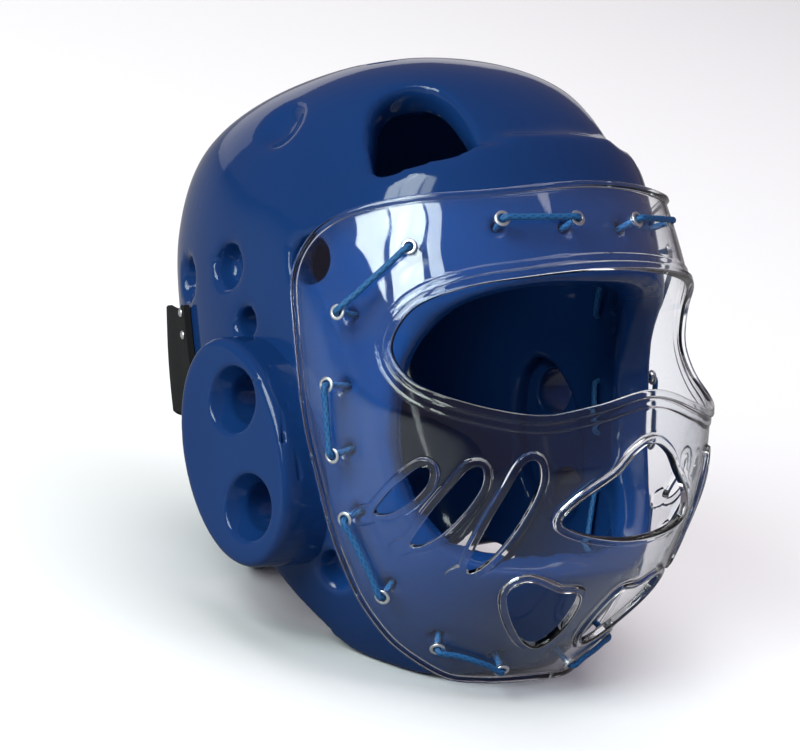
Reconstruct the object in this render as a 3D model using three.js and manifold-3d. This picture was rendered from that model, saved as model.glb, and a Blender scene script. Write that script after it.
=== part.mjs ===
// Head guard for contact sport: a dipped-foam shell with ear pads, and a clear visor laced to its front.
// Millimetres. The pieces are laid out in the head's own frame: the front is -Y, the wearer's left is +X,
// up is +Z, and the origin lies level with the middle of the ears. The finished guard is then tilted back
// onto the foam's lower edge at the jaw and the nape, as it rests on a table.
import * as THREE from 'three';
import { mergeVertices } from 'three/addons/utils/BufferGeometryUtils.js';
import Module from 'manifold-3d';

const wasm = await Module();
wasm.setup();

// Driving dimensions
const WALL = 17;              // foam thickness
const GAP = 0.3;              // clearance between pieces that touch
const REST_TILT = 32;         // degrees, backwards
const FLATTENED = 1.5;        // how far the foam at the jaw is pressed flat where it rests
const SHEET = 2;              // visor thickness
const LIP = { width: 4.2, height: 1.5 };    // raised edge of each opening in the visor
const RIM = { width: 3, height: 1.6 };      // raised outer edge of the visor
const SLIVER = 0.1;           // facets thinner than this are merged with their neighbours
const LACE_RADIUS = 1.35;
const EYELET = { bore: 1.9, barrel: 2.4, flange: 3.5, plate: 0.8 };
const FACETS = {
  foamAround: 44, liningAround: 28, pad: 24, earHole: 12, lace: 6, eyelet: 6, hole: 10, drill: 5,
};

// Outer surface of the foam from the crown down: half width, reach to the front and reach to the back
const FOAM_SQUARE = 2.25;
const FOAM_ROWS = [
  { z: 176, half: 0, front: 0, back: 0 },
  { z: 170, half: 42, front: 45, back: 54 },
  { z: 150, half: 73, front: 82, back: 93 },
  { z: 114, half: 89, front: 105, back: 110 },
  { z: 68, half: 94, front: 110, back: 112 },
  { z: 20, half: 94, front: 108, back: 107 },
  { z: -25, half: 90, front: 103, back: 96 },
  { z: -50, half: 83, front: 95, back: 87 },
  { z: -65, half: 75, front: 84, back: 78 },
  { z: -80, half: 64, front: 67, back: 66 },
  { z: -95, half: 49, front: 46, back: 52 },
  { z: -108, half: 34, front: 26, back: 38 },
];

// Outer face of the visor: half width, reach to the front and how square the section is (2 is an ellipse)
const VISOR_ROWS = [
  { z: 112, half: 102.5, front: 116, square: 2.25 },
  { z: 97, half: 103.5, front: 120, square: 2.25 },
  { z: 76, half: 105, front: 125, square: 2.25 },
  { z: 44, half: 106, front: 131, square: 2.22 },
  { z: 10, half: 106, front: 135.5, square: 2.14 },
  { z: -16, half: 101.5, front: 132, square: 2.12 },
  { z: -34, half: 98, front: 124.5, square: 2.13 },
  { z: -58, half: 89.5, front: 106.5, square: 2.14 },
  { z: -74, half: 80.5, front: 91.5, square: 2.1 },
  { z: -90, half: 65.5, front: 69, square: 2 },
  { z: -109, half: 42, front: 40, square: 2 },
];

// Raised forehead band: its upper edge is highest at the front, and it fades out at the temples and cheeks
const BAND = {
  rise: 4.5, edge: 112, peak: 12, peakSpread: 55, ledge: 6, fadeFrom: 48, fadeTo: 75, low: 40, full: 60,
};

// Right half of the face opening, seen from the front
const FACE_ROWS = [
  { x: 0, z: 57 }, { x: 40, z: 56 }, { x: 62, z: 50 }, { x: 73, z: 34 }, { x: 76, z: 8 },
  { x: 75, z: -16 }, { x: 70, z: -36 }, { x: 58, z: -54 }, { x: 38, z: -63 }, { x: 0, z: -65 },
];

// Lower edge of the foam, seen from the side, from the chin to the nape
const HEM_ROWS = [
  { y: -140, z: -102 }, { y: -40, z: -102 }, { y: -17, z: -100 }, { y: -2, z: -93 }, { y: 8, z: -83 },
  { y: 18, z: -63 }, { y: 26, z: -47 }, { y: 36, z: -40 }, { y: 130, z: -40 },
];
const BACK_SLIT = { width: 22, top: 100 };

// Vent at each side of the crown's front, in the plane that touches the crown there
const VENT = { angle: 41.5, z: 128.6 };
const VENT_ROWS = [
  { side: -25, up: -19 }, { side: -21, up: 4 }, { side: -16, up: 19 }, { side: -6, up: 25 },
  { side: 6, up: 22 }, { side: 16, up: 5 }, { side: 20, up: -9 }, { side: 18, up: -11 },
  { side: -22, up: -19.5 },
];

// Round dents and holes in each side of the foam: angle from the front, height, radius and depth
const THROUGH = 40;
const DENTS = [
  { angle: 86.5, z: 146, radius: 14, floor: 10, depth: 6 },
  { angle: 99, z: 88, radius: 10.5, floor: 7, depth: 11 },
  { angle: 120, z: 89, radius: 10.5, floor: 7, depth: 11 },
  { angle: 94.5, z: 61, radius: 7, floor: 6, depth: 14 },
  { angle: 76, z: 81, radius: 10.5, floor: 9, depth: THROUGH },
  { angle: 83.5, z: -52, radius: 9.5, floor: 6.5, depth: 12 },
  { angle: 49.5, z: 172.5, radius: 7, floor: 6, depth: THROUGH },
];

// Ear pad: an oval that leans forward at its foot, with two ear holes over one oval opening in the shell
const PAD = { y: 7, z: 4, lean: 8 };
const PAD_ROWS = [
  { x: -80, half: 33, rise: 51 }, { x: -104, half: 33, rise: 51 }, { x: -110, half: 32.2, rise: 50.2 },
  { x: -114, half: 29.5, rise: 47.5 }, { x: -115, half: 27, rise: 45 },
];
const EAR_HOLES = [{ y: 2, z: 26 }, { y: 0, z: -21 }];
const EAR_HOLE = { mouth: 15, throat: 10.5, funnel: 9 };
const EAR_OPENING = { y: 1, z: 2.5, half: 20, rise: 40 };

// Right half of the visor's outline and of its two middle openings: angle from the front and height
const VISOR_EDGE = [
  { angle: 0, z: 99.5 }, { angle: 28, z: 97.4 }, { angle: 50, z: 98.6 }, { angle: 64, z: 96 },
  { angle: 72, z: 89 }, { angle: 77, z: 76 }, { angle: 78.4, z: 52 }, { angle: 78.4, z: 0 },
  { angle: 78, z: -28 }, { angle: 77, z: -48 }, { angle: 74.2, z: -70 }, { angle: 67.5, z: -88.4 },
  { angle: 54, z: -101.5 }, { angle: 34, z: -105.8 }, { angle: 0, z: -107 },
];
const EYE_EDGE = [
  { angle: 0, z: 59.5 }, { angle: 24, z: 57.8 }, { angle: 40, z: 56 }, { angle: 52, z: 49.5 },
  { angle: 57.5, z: 36 }, { angle: 55, z: 22 }, { angle: 46, z: 10 }, { angle: 29, z: -0.7 },
  { angle: 16, z: 1 }, { angle: 0, z: 6.5 },
];
const MOUTH_EDGE = [
  { angle: 0, z: -16 }, { angle: 5, z: -20 }, { angle: 9.5, z: -28 }, { angle: 19, z: -38.5 },
  { angle: 22, z: -44.7 }, { angle: 18, z: -49 }, { angle: 0, z: -54 },
];

// Slots in the right cheek, from the lower outer end to the upper inner end, and how far the lower side bows
const SLOTS = [
  { name: 'outer', foot: { angle: -66.5, z: -31 }, head: { angle: -54.3, z: -15.5 }, bow: 7.5 },
  { name: 'middle', foot: { angle: -59, z: -46.5 }, head: { angle: -43.5, z: -18 }, bow: 10 },
  { name: 'inner', foot: { angle: -44.8, z: -60.5 }, head: { angle: -31.8, z: -18 }, bow: 11.5 },
];
const SLOT_UPPER_BOW = 2.4;
const CHIN_VENT = [
  { angle: -32.5, z: -71 }, { angle: -28, z: -67.6 }, { angle: -16, z: -73 }, { angle: -8, z: -75 },
  { angle: -7, z: -88 }, { angle: -12, z: -93.2 }, { angle: -20, z: -91.5 }, { angle: -29, z: -82 },
];

// Laces on the right side, each between two eyelets in the visor
const LACES = [
  { name: 'brow', from: { angle: -8.2, z: 82.4 }, to: { angle: -27.2, z: 84 } },
  { name: 'temple', from: { angle: -49.8, z: 76.7 }, to: { angle: -68, z: 54.3 } },
  { name: 'cheek', from: { angle: -72.4, z: 24.7 }, to: { angle: -73.6, z: -5 } },
  { name: 'jaw', from: { angle: -73.6, z: -32 }, to: { angle: -68, z: -66 } },
  { name: 'chin', from: { angle: -53.5, z: -90 }, to: { angle: -24.5, z: -102 } },
];

// Strap across the slit at the back: it is riveted flat to the foam, then rises and stands off it
const STRAP = {
  low: 29, high: 77, rise: 5, thickness: 3, seat: 0.5, end: 118, flatTo: 123, standTo: 138, steps: 20,
};
const STAND = { low: 6, high: 2.5 };        // how far the strap's lower and upper edges stand off
const RIVETS = { angle: 120.2, shares: [0.94, 0.73], radius: 2, height: 1 };

const SIDES = [{ name: 'right', sign: 1 }, { name: 'left', sign: -1 }];

// Materials
const foamBlue = new THREE.MeshStandardMaterial({ color: 0x1b4284, roughness: 0.25, metalness: 0 });
const clearSheet = new THREE.MeshStandardMaterial({
  color: 0xdfe6ee, roughness: 0.08, metalness: 0, transparent: true, opacity: 0.3,
});
const laceBlue = new THREE.MeshStandardMaterial({ color: 0x1f62a8, roughness: 0.7, metalness: 0 });
const nickel = new THREE.MeshStandardMaterial({ color: 0xb9bcc0, roughness: 0.3, metalness: 1 });
const blackWeb = new THREE.MeshStandardMaterial({ color: 0x0b0b0d, roughness: 0.85, metalness: 0 });

// Solids: a closed geometry becomes a body that can be cut and joined, and the other way round
function toSolid(geometry) {
  const bare = geometry.clone();
  bare.deleteAttribute('normal');
  bare.deleteAttribute('uv');
  const merged = mergeVertices(bare, 1e-4);
  const index = merged.index.array;
  const triangles = [];
  for (let i = 0; i < index.length; i += 3) {
    const [a, b, c] = [index[i], index[i + 1], index[i + 2]];
    if (a !== b && b !== c && c !== a) triangles.push(a, b, c);
  }
  return new wasm.Manifold(new wasm.Mesh({
    numProp: 3,
    vertProperties: new Float32Array(merged.attributes.position.array),
    triVerts: new Uint32Array(triangles),
  }));
}

function toGeometry(solid) {
  const mesh = solid.asOriginal().simplify(SLIVER).getMesh();
  const geometry = new THREE.BufferGeometry();
  geometry.setAttribute('position', new THREE.BufferAttribute(new Float32Array(mesh.vertProperties), 3));
  geometry.setIndex(new THREE.BufferAttribute(new Uint32Array(mesh.triVerts), 1));
  geometry.computeVertexNormals();
  return geometry;
}

function signedVolume(points, triangles) {
  let volume = 0;
  for (let i = 0; i < triangles.length; i += 3) {
    const [a, b, c] = [points[triangles[i]], points[triangles[i + 1]], points[triangles[i + 2]]];
    volume += a.dot(b.clone().cross(c)) / 6;
  }
  return volume;
}

function closedGeometry(points, triangles) {
  const outward = signedVolume(points, triangles) > 0;
  const ordered = outward ? triangles : triangles.slice().reverse();
  const geometry = new THREE.BufferGeometry().setFromPoints(points);
  geometry.setIndex(ordered);
  geometry.computeVertexNormals();
  return geometry;
}

// Skin over a row of rings with equally many points, closed by a point at each end, or joined end to end
function loft(rings, tips) {
  const count = rings[0].length;
  const points = rings.flat();
  const triangles = [];
  const loop = tips === undefined;
  const bands = loop ? rings.length : rings.length - 1;
  for (let r = 0; r < bands; r += 1) {
    const here = r * count;
    const next = ((r + 1) % rings.length) * count;
    for (let k = 0; k < count; k += 1) {
      const m = (k + 1) % count;
      triangles.push(here + k, next + k, next + m, here + k, next + m, here + m);
    }
  }
  if (!loop) {
    const last = (rings.length - 1) * count;
    const firstTip = points.length;
    points.push(tips[0], tips[1]);
    for (let k = 0; k < count; k += 1) {
      const m = (k + 1) % count;
      triangles.push(firstTip, k, m, firstTip + 1, last + m, last + k);
    }
  }
  return closedGeometry(points, triangles);
}

const centroid = (ring) => ring.reduce((sum, p) => sum.add(p), new THREE.Vector3()).divideScalar(ring.length);

// Section surfaces: a smooth curve through the rows, measured by a station number that counts the rows
const radians = THREE.MathUtils.degToRad;
const smooth = (value, from, to) => THREE.MathUtils.smoothstep(value, from, to);

function mapRow(row, other, mix) {
  return Object.fromEntries(Object.keys(row).map((key) => [key, mix(row[key], other[key])]));
}

function sectionSurface(rows, square, pole) {
  const beyond = (near, far) => mapRow(near, far, (a, b) => 2 * a - b);
  const mirrored = mapRow(rows[1], rows[1], (a) => -a);
  mirrored.z = rows[1].z;
  const last = rows.length - 1;
  const all = [pole ? mirrored : beyond(rows[0], rows[1]), ...rows, beyond(rows[last], rows[last - 1])];
  return { all, last, square };
}

function rowAt(surface, station) {
  const i = Math.min(Math.max(Math.floor(station), 0), surface.last - 1);
  const s = station - i;
  const [p0, p1, p2, p3] = surface.all.slice(i, i + 4);
  const row = {};
  for (const key of Object.keys(p1)) {
    const bend = 2 * p0[key] - 5 * p1[key] + 4 * p2[key] - p3[key];
    const twist = 3 * p1[key] - p0[key] - 3 * p2[key] + p3[key];
    row[key] = 0.5 * (2 * p1[key] + (p2[key] - p0[key]) * s + bend * s * s + twist * s * s * s);
  }
  return row;
}

function pointOn(surface, angle, station) {
  const row = rowAt(surface, station);
  const power = 2 / (row.square ?? surface.square);
  const across = Math.sin(radians(angle));
  const along = Math.cos(radians(angle));
  const reach = along >= 0 || row.back === undefined ? -row.front : row.back;
  return new THREE.Vector3(
    row.half * Math.sign(across) * Math.abs(across) ** power,
    reach * Math.abs(along) ** power,
    row.z,
  );
}

function normalOn(surface, angle, station) {
  const [turn, step] = [1, 0.03];
  const up = Math.max(station - step, 0);
  const down = Math.min(station + step, surface.last);
  const around = pointOn(surface, angle + turn, station).sub(pointOn(surface, angle - turn, station));
  const downward = pointOn(surface, angle, down).sub(pointOn(surface, angle, up));
  return downward.cross(around).normalize();
}

function stationAt(surface, z) {
  let [low, high] = [0, surface.last];
  while (high - low > 1e-6) {
    const middle = (low + high) / 2;
    if (rowAt(surface, middle).z > z) low = middle;
    else high = middle;
  }
  return (low + high) / 2;
}

const foamSurface = sectionSurface(FOAM_ROWS, FOAM_SQUARE, true);
const visorSurface = sectionSurface(VISOR_ROWS, 2, false);

// Closed outline through a few points given by hand, with its right half mirrored when it is half of one
function mirroredOutline(half) {
  const back = half.slice(1, -1).reverse().map((p) => new THREE.Vector2(-p.x, p.y));
  return [...half, ...back];
}

function roundOutline(points, spacing) {
  const corners = points.map((p) => new THREE.Vector3(p.x, p.y, 0));
  const curve = new THREE.CatmullRomCurve3(corners, true, 'centripetal');
  const count = Math.max(8, Math.round(curve.getLength() / spacing));
  return curve.getSpacedPoints(count).slice(0, count).map((p) => new THREE.Vector2(p.x, p.y));
}

function prism(outline, depth) {
  const shape = new THREE.Shape(outline);
  return new THREE.ExtrudeGeometry(shape, { depth, steps: 1, bevelEnabled: false });
}

// Round cutter from just outside a surface point down into it
function drill(point, normal, radius, floor, depth, facets) {
  const above = 3;
  const slope = (radius - floor) / depth;
  const geometry = new THREE.CylinderGeometry(radius + slope * above, floor, depth + above, facets);
  geometry.translate(0, (above - depth) / 2, 0);
  const turn = new THREE.Quaternion().setFromUnitVectors(new THREE.Vector3(0, 1, 0), normal);
  geometry.applyQuaternion(turn);
  geometry.translate(point.x, point.y, point.z);
  return toSolid(geometry);
}

// Foam body: a closed outer form and the hollow for the head
const ROWS_PER_STATION = 2;
const foamStations = [];
for (let station = 0.3; station < foamSurface.last; station += 1 / ROWS_PER_STATION) {
  foamStations.push(station);
}
foamStations.push(foamSurface.last);

function bandRise(angle, z) {
  const spread = Math.min(Math.abs(angle) / BAND.peakSpread, 1);
  const edge = BAND.edge + BAND.peak * Math.cos(spread * Math.PI / 2) ** 2;
  const below = 1 - smooth(z, edge - BAND.ledge / 2, edge + BAND.ledge / 2);
  const front = 1 - smooth(Math.abs(angle), BAND.fadeFrom, BAND.fadeTo);
  return BAND.rise * below * front * smooth(z, BAND.low, BAND.full);
}

function ringAngles(count) {
  return Array.from({ length: count }, (_, k) => -180 + 360 * k / count);
}

function foamForm(grow) {
  const rings = foamStations.map((station) => ringAngles(FACETS.foamAround).map((angle) => {
    const point = pointOn(foamSurface, angle, station);
    return point.addScaledVector(normalOn(foamSurface, angle, station), bandRise(angle, point.z) + grow);
  }));
  const crown = new THREE.Vector3(0, 0, FOAM_ROWS[0].z + grow);
  return loft(rings, [crown, centroid(rings[rings.length - 1])]);
}

function headHollow() {
  const hollowStations = foamStations.filter((_, k) => k % 2 === 0);
  const rings = hollowStations.map((station) => ringAngles(FACETS.liningAround).map((angle) => {
    const point = pointOn(foamSurface, angle, station);
    return point.addScaledVector(normalOn(foamSurface, angle, station), -WALL);
  }));
  const mouth = rings[rings.length - 1].map((p) => new THREE.Vector3(p.x, p.y, FOAM_ROWS.at(-1).z - WALL));
  rings.push(mouth);
  const crown = new THREE.Vector3(0, 0, FOAM_ROWS[0].z - WALL);
  return loft(rings, [crown, centroid(mouth)]);
}

// Cutters for the foam
const FAR = 160;
const sideways = new THREE.Matrix4().makeBasis(
  new THREE.Vector3(0, 1, 0), new THREE.Vector3(0, 0, 1), new THREE.Vector3(1, 0, 0),
);

function faceCutter() {
  const half = FACE_ROWS.map((row) => new THREE.Vector2(row.x, row.z));
  const geometry = prism(roundOutline(mirroredOutline(half), 13), FAR);
  geometry.rotateX(Math.PI / 2);
  return toSolid(geometry);
}

function hemCutter() {
  const low = -260;
  const edge = new THREE.SplineCurve(HEM_ROWS.slice(1, -1).map((row) => new THREE.Vector2(row.y, row.z)));
  const outline = [HEM_ROWS[0], HEM_ROWS.at(-1)].map((row) => new THREE.Vector2(row.y, row.z));
  outline.splice(1, 0, ...edge.getPoints(14));
  outline.push(new THREE.Vector2(HEM_ROWS.at(-1).y, low), new THREE.Vector2(HEM_ROWS[0].y, low));
  const geometry = prism(outline, 2 * FAR);
  geometry.translate(0, 0, -FAR);
  geometry.applyMatrix4(sideways);
  return toSolid(geometry);
}

function slitCutter() {
  const radius = BACK_SLIT.width / 2;
  const shape = new THREE.Shape();
  shape.moveTo(-radius, -FAR);
  shape.lineTo(radius, -FAR);
  shape.lineTo(radius, BACK_SLIT.top - radius);
  shape.absarc(0, BACK_SLIT.top - radius, radius, 0, Math.PI, false);
  shape.lineTo(-radius, -FAR);
  const options = { depth: FAR, steps: 1, curveSegments: 5, bevelEnabled: false };
  const geometry = new THREE.ExtrudeGeometry(shape, options);
  geometry.rotateX(Math.PI / 2);
  geometry.translate(0, FAR, 0);
  return toSolid(geometry);
}

// Mirroring turns a geometry inside out, so its triangles are wound the other way
function turnedOver(geometry) {
  const merged = mergeVertices(geometry, 1e-4);
  const index = merged.index.array;
  for (let i = 0; i < index.length; i += 3) [index[i], index[i + 1]] = [index[i + 1], index[i]];
  return merged;
}

function ventCutter(sign) {
  const station = stationAt(foamSurface, VENT.z);
  const angle = -sign * VENT.angle;
  const point = pointOn(foamSurface, angle, station);
  const normal = normalOn(foamSurface, angle, station);
  const side = new THREE.Vector3(0, 0, 1).cross(normal).normalize();
  const up = normal.clone().cross(side);
  const outline = VENT_ROWS.map((row) => new THREE.Vector2(sign * row.side, row.up));
  const geometry = prism(roundOutline(outline, 9), 60);
  geometry.translate(0, 0, -38);
  geometry.applyMatrix4(new THREE.Matrix4().makeBasis(side, up, normal).setPosition(point));
  return toSolid(geometry);
}

// Oval in the plane of the ear, leaning as the pad does: y runs to the back and z up
function earOval(middle, half, rise, count) {
  return Array.from({ length: count }, (_, k) => {
    const turn = 2 * Math.PI * k / count;
    const flat = new THREE.Vector2(half * Math.cos(turn), rise * Math.sin(turn));
    flat.rotateAround(new THREE.Vector2(), -radians(PAD.lean));
    return flat.add(new THREE.Vector2(middle.y, middle.z));
  });
}

function earCutter(sign) {
  const inner = 60;
  const geometry = prism(earOval(EAR_OPENING, EAR_OPENING.half, EAR_OPENING.rise, FACETS.pad), FAR);
  geometry.translate(0, 0, sign > 0 ? -inner - FAR : inner);
  geometry.applyMatrix4(sideways);
  return toSolid(geometry);
}

// The table top under the resting guard, in the head's frame: the foam below it is pressed flat
const tableNormal = new THREE.Vector3(0, -Math.sin(radians(REST_TILT)), Math.cos(radians(REST_TILT)));

function pointsOf(geometry) {
  const position = geometry.attributes.position;
  const pointAt = (_, i) => new THREE.Vector3().fromBufferAttribute(position, i);
  return Array.from({ length: position.count }, pointAt);
}

function tableCutter(level) {
  const size = 4 * FAR;
  const geometry = new THREE.BoxGeometry(size, size, size);
  geometry.translate(0, 0, level - size / 2);
  geometry.rotateX(radians(REST_TILT));
  return toSolid(geometry);
}

// Visor: worked out flat, as angle times a fixed length and as length down the centre line, then wrapped
const MM_PER_DEGREE = 1.9;
const CELL = 22;
const DOME = 400;             // radius of the slight dome that the flat sheet is cut in
const DROP_STEPS = 400;
const drops = [{ station: 0, drop: 0 }];
for (let k = 1; k <= DROP_STEPS; k += 1) {
  const station = visorSurface.last * k / DROP_STEPS;
  const span = pointOn(visorSurface, 0, station).distanceTo(pointOn(visorSurface, 0, drops[k - 1].station));
  drops.push({ station, drop: drops[k - 1].drop + span });
}
const fullDrop = drops[DROP_STEPS].drop;

function dropAt(z) {
  const place = stationAt(visorSurface, z) / visorSurface.last * DROP_STEPS;
  const k = Math.min(Math.floor(place), DROP_STEPS - 1);
  return THREE.MathUtils.lerp(drops[k].drop, drops[k + 1].drop, place - k);
}

function stationAtDrop(drop) {
  const k = Math.min(Math.max(drops.findIndex((entry) => entry.drop >= drop), 1), DROP_STEPS);
  const [before, after] = [drops[k - 1], drops[k]];
  const share = (drop - before.drop) / (after.drop - before.drop);
  return THREE.MathUtils.lerp(before.station, after.station, share);
}

const flatPoint = (place) => new THREE.Vector2(place.angle * MM_PER_DEGREE, -dropAt(place.z));
const middleDrop = fullDrop / 2;
const dome = (x, y) => -(x * x + (y + middleDrop) ** 2) / (2 * DOME);

// True millimetres per flat millimetre, across and down, at a place on the flat sheet
function flatScale(place) {
  const reach = 2;
  const at = (x, y) => pointOn(visorSurface, x / MM_PER_DEGREE, stationAtDrop(-y));
  const across = at(place.x + reach, place.y).distanceTo(at(place.x - reach, place.y));
  const down = at(place.x, place.y + reach).distanceTo(at(place.x, place.y - reach));
  return new THREE.Vector2(across, down).divideScalar(2 * reach);
}

// Flat outline moved outwards by a true distance, or inwards if it is negative
function grownOutline(outline, distance) {
  const turn = THREE.ShapeUtils.isClockWise(outline) ? -1 : 1;
  return outline.map((point, i) => {
    const before = outline[(i + outline.length - 1) % outline.length];
    const after = outline[(i + 1) % outline.length];
    const scale = flatScale(point);
    const along = after.clone().sub(before).multiply(scale).normalize();
    const step = new THREE.Vector2(turn * along.y, -turn * along.x).multiplyScalar(distance).divide(scale);
    return point.clone().add(step);
  });
}

function flatSlab(low, high) {
  const width = 2 * 84 * MM_PER_DEGREE;
  const across = Math.round(width / CELL);
  const down = Math.round(fullDrop / CELL);
  const geometry = new THREE.BoxGeometry(width, fullDrop, high - low, across, down, 1);
  geometry.translate(0, -middleDrop, (low + high) / 2);
  const position = geometry.attributes.position;
  for (let i = 0; i < position.count; i += 1) {
    position.setZ(i, position.getZ(i) + dome(position.getX(i), position.getY(i)));
  }
  return toSolid(geometry);
}

function flatPrism(outline) {
  const geometry = prism(outline, 2 * FAR);
  geometry.translate(0, 0, -FAR);
  return toSolid(geometry);
}

function wrapped(geometry) {
  const position = geometry.attributes.position;
  for (let i = 0; i < position.count; i += 1) {
    const [x, y] = [position.getX(i), position.getY(i)];
    const height = position.getZ(i) - dome(x, y);
    const angle = x / MM_PER_DEGREE;
    const station = stationAtDrop(-y);
    const point = pointOn(visorSurface, angle, station);
    point.addScaledVector(normalOn(visorSurface, angle, station), height);
    position.setXYZ(i, point.x, point.y, point.z);
  }
  geometry.computeVertexNormals();
  return geometry;
}

// Leaf-shaped slot: nearly straight along its upper side and bowed along its lower side
function slotOutline(slot) {
  const foot = flatPoint(slot.foot);
  const head = flatPoint(slot.head);
  const along = head.clone().sub(foot);
  const across = new THREE.Vector2(along.y, -along.x).normalize();
  const at = (share, bow) => foot.clone().addScaledVector(along, share).addScaledVector(across, bow);
  return [
    foot, at(0.33, -SLOT_UPPER_BOW), at(0.7, -SLOT_UPPER_BOW), at(0.95, -1), at(1, 0.25 * slot.bow),
    at(0.88, 0.75 * slot.bow), at(0.5, slot.bow), at(0.2, 0.8 * slot.bow), at(0.03, 0.35 * slot.bow),
  ];
}

const mirrorFlat = (outline) => outline.map((p) => new THREE.Vector2(-p.x, p.y));
const halfCorners = [...SLOTS.map(slotOutline), CHIN_VENT.map(flatPoint)];
const halfOpenings = halfCorners.map((points) => roundOutline(points, 9));
const openings = [
  roundOutline(mirroredOutline(EYE_EDGE.map(flatPoint)), 11),
  roundOutline(mirroredOutline(MOUTH_EDGE.map(flatPoint)), 8),
  ...halfOpenings,
  ...halfOpenings.map(mirrorFlat),
];

function visorGeometry(eyeletPlaces) {
  const edge = roundOutline(mirroredOutline(VISOR_EDGE.map(flatPoint)), 13);
  const body = flatPrism(edge);
  const border = body.subtract(flatPrism(grownOutline(edge, -RIM.width)));
  const rim = flatSlab(-SHEET / 2, RIM.height).intersect(border);
  let sheet = flatSlab(-SHEET, 0).intersect(body).add(rim);
  const lipSlab = flatSlab(-SHEET / 2, LIP.height);
  for (const outline of openings) {
    sheet = sheet.add(lipSlab.intersect(flatPrism(grownOutline(outline, LIP.width))));
  }
  for (const outline of openings) sheet = sheet.subtract(flatPrism(outline));
  for (const place of eyeletPlaces) {
    const radius = (EYELET.barrel + GAP) / Math.cos(Math.PI / FACETS.eyelet);
    const seat = flatPoint(place);
    const outline = Array.from({ length: FACETS.eyelet }, (_, k) => {
      const turn = 2 * Math.PI * k / FACETS.eyelet;
      const corner = new THREE.Vector2(Math.cos(turn), Math.sin(turn)).multiplyScalar(radius);
      return corner.divide(flatScale(seat)).add(seat);
    });
    sheet = sheet.subtract(flatPrism(outline));
  }
  return wrapped(toGeometry(sheet));
}

// A place on the visor: its point on the outer face and the direction straight out of it
function visorPlace(place) {
  const station = stationAt(visorSurface, place.z);
  return {
    point: pointOn(visorSurface, place.angle, station),
    out: normalOn(visorSurface, place.angle, station),
  };
}

// Eyelet: a flange on the visor's outer face with a barrel through the sheet
function eyeletGeometry(place) {
  const top = GAP + EYELET.plate;
  const foot = -SHEET - GAP;
  const profile = [
    [EYELET.bore, foot], [EYELET.barrel, foot], [EYELET.barrel, GAP], [EYELET.flange, GAP],
    [EYELET.flange, top], [EYELET.bore, top], [EYELET.bore, foot],
  ].map(([x, y]) => new THREE.Vector2(x, y));
  const geometry = new THREE.LatheGeometry(profile, FACETS.eyelet);
  const { point, out } = visorPlace(place);
  geometry.applyQuaternion(new THREE.Quaternion().setFromUnitVectors(new THREE.Vector3(0, 1, 0), out));
  geometry.translate(point.x, point.y, point.z);
  return geometry;
}

// Lace: a closed loop out through one eyelet, along the visor, in through the other and back inside the foam
const LACE_CORNER = 2;
const LACE_LIFT = GAP + EYELET.plate + LACE_RADIUS + 2 * GAP;
const LACE_INSIDE = 2.2;      // how far the inner run stands off the lining

function hollowDistance(hollow, place) {
  const { point, out } = visorPlace(place);
  const caster = new THREE.Raycaster(point, out.clone().negate());
  return caster.intersectObject(hollow)[0].distance;
}

function laceStations(lace, hollow) {
  const ends = [lace.from, lace.to].map((place) => {
    const { point, out } = visorPlace(place);
    const reach = hollowDistance(hollow, place) + LACE_INSIDE;
    const top = point.clone().addScaledVector(out, LACE_LIFT);
    const foot = point.clone().addScaledVector(out, -reach);
    return { top, foot };
  });
  const run = [0.3, 0.5, 0.7].map((share) => {
    const place = {
      angle: THREE.MathUtils.lerp(lace.from.angle, lace.to.angle, share),
      z: THREE.MathUtils.lerp(lace.from.z, lace.to.z, share),
    };
    const { point, out } = visorPlace(place);
    return point.addScaledVector(out, LACE_RADIUS + 1.5 * GAP);
  });
  const [a, b] = ends;
  const corner = (middle, before, after) => {
    const from = middle.clone().add(before.clone().sub(middle).setLength(LACE_CORNER));
    const to = middle.clone().add(after.clone().sub(middle).setLength(LACE_CORNER));
    return [from, to];
  };
  return [
    ...corner(a.top, a.foot, run[0]), ...run, ...corner(b.top, run[2], b.foot),
    ...corner(b.foot, b.top, a.foot), ...corner(a.foot, b.foot, a.top),
  ];
}

function laceGeometry(stations) {
  const count = stations.length;
  const [first, second] = [stations[Math.floor(count / 2)], stations[Math.floor(count / 4)]];
  const across = first.clone().sub(stations[0]).cross(second.clone().sub(stations[0])).normalize();
  const rings = stations.map((station, i) => {
    const along = stations[(i + 1) % count].clone().sub(stations[(i + count - 1) % count]).normalize();
    const side = across.clone().addScaledVector(along, -across.dot(along)).normalize();
    const up = along.clone().cross(side);
    return Array.from({ length: FACETS.lace }, (_, k) => {
      const turn = 2 * Math.PI * k / FACETS.lace;
      const point = station.clone().addScaledVector(side, LACE_RADIUS * Math.cos(turn));
      return point.addScaledVector(up, LACE_RADIUS * Math.sin(turn));
    });
  });
  return loft(rings);
}

// Channel through the foam for one leg of a lace
function laceChannel(place, hollow) {
  const { point, out } = visorPlace(place);
  const length = hollowDistance(hollow, place) + 2 * LACE_INSIDE;
  const radius = (LACE_RADIUS + GAP) / Math.cos(Math.PI / FACETS.drill);
  const below = point.clone().addScaledVector(out, -SHEET);
  return drill(below, out, radius, radius, length, FACETS.drill);
}

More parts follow.
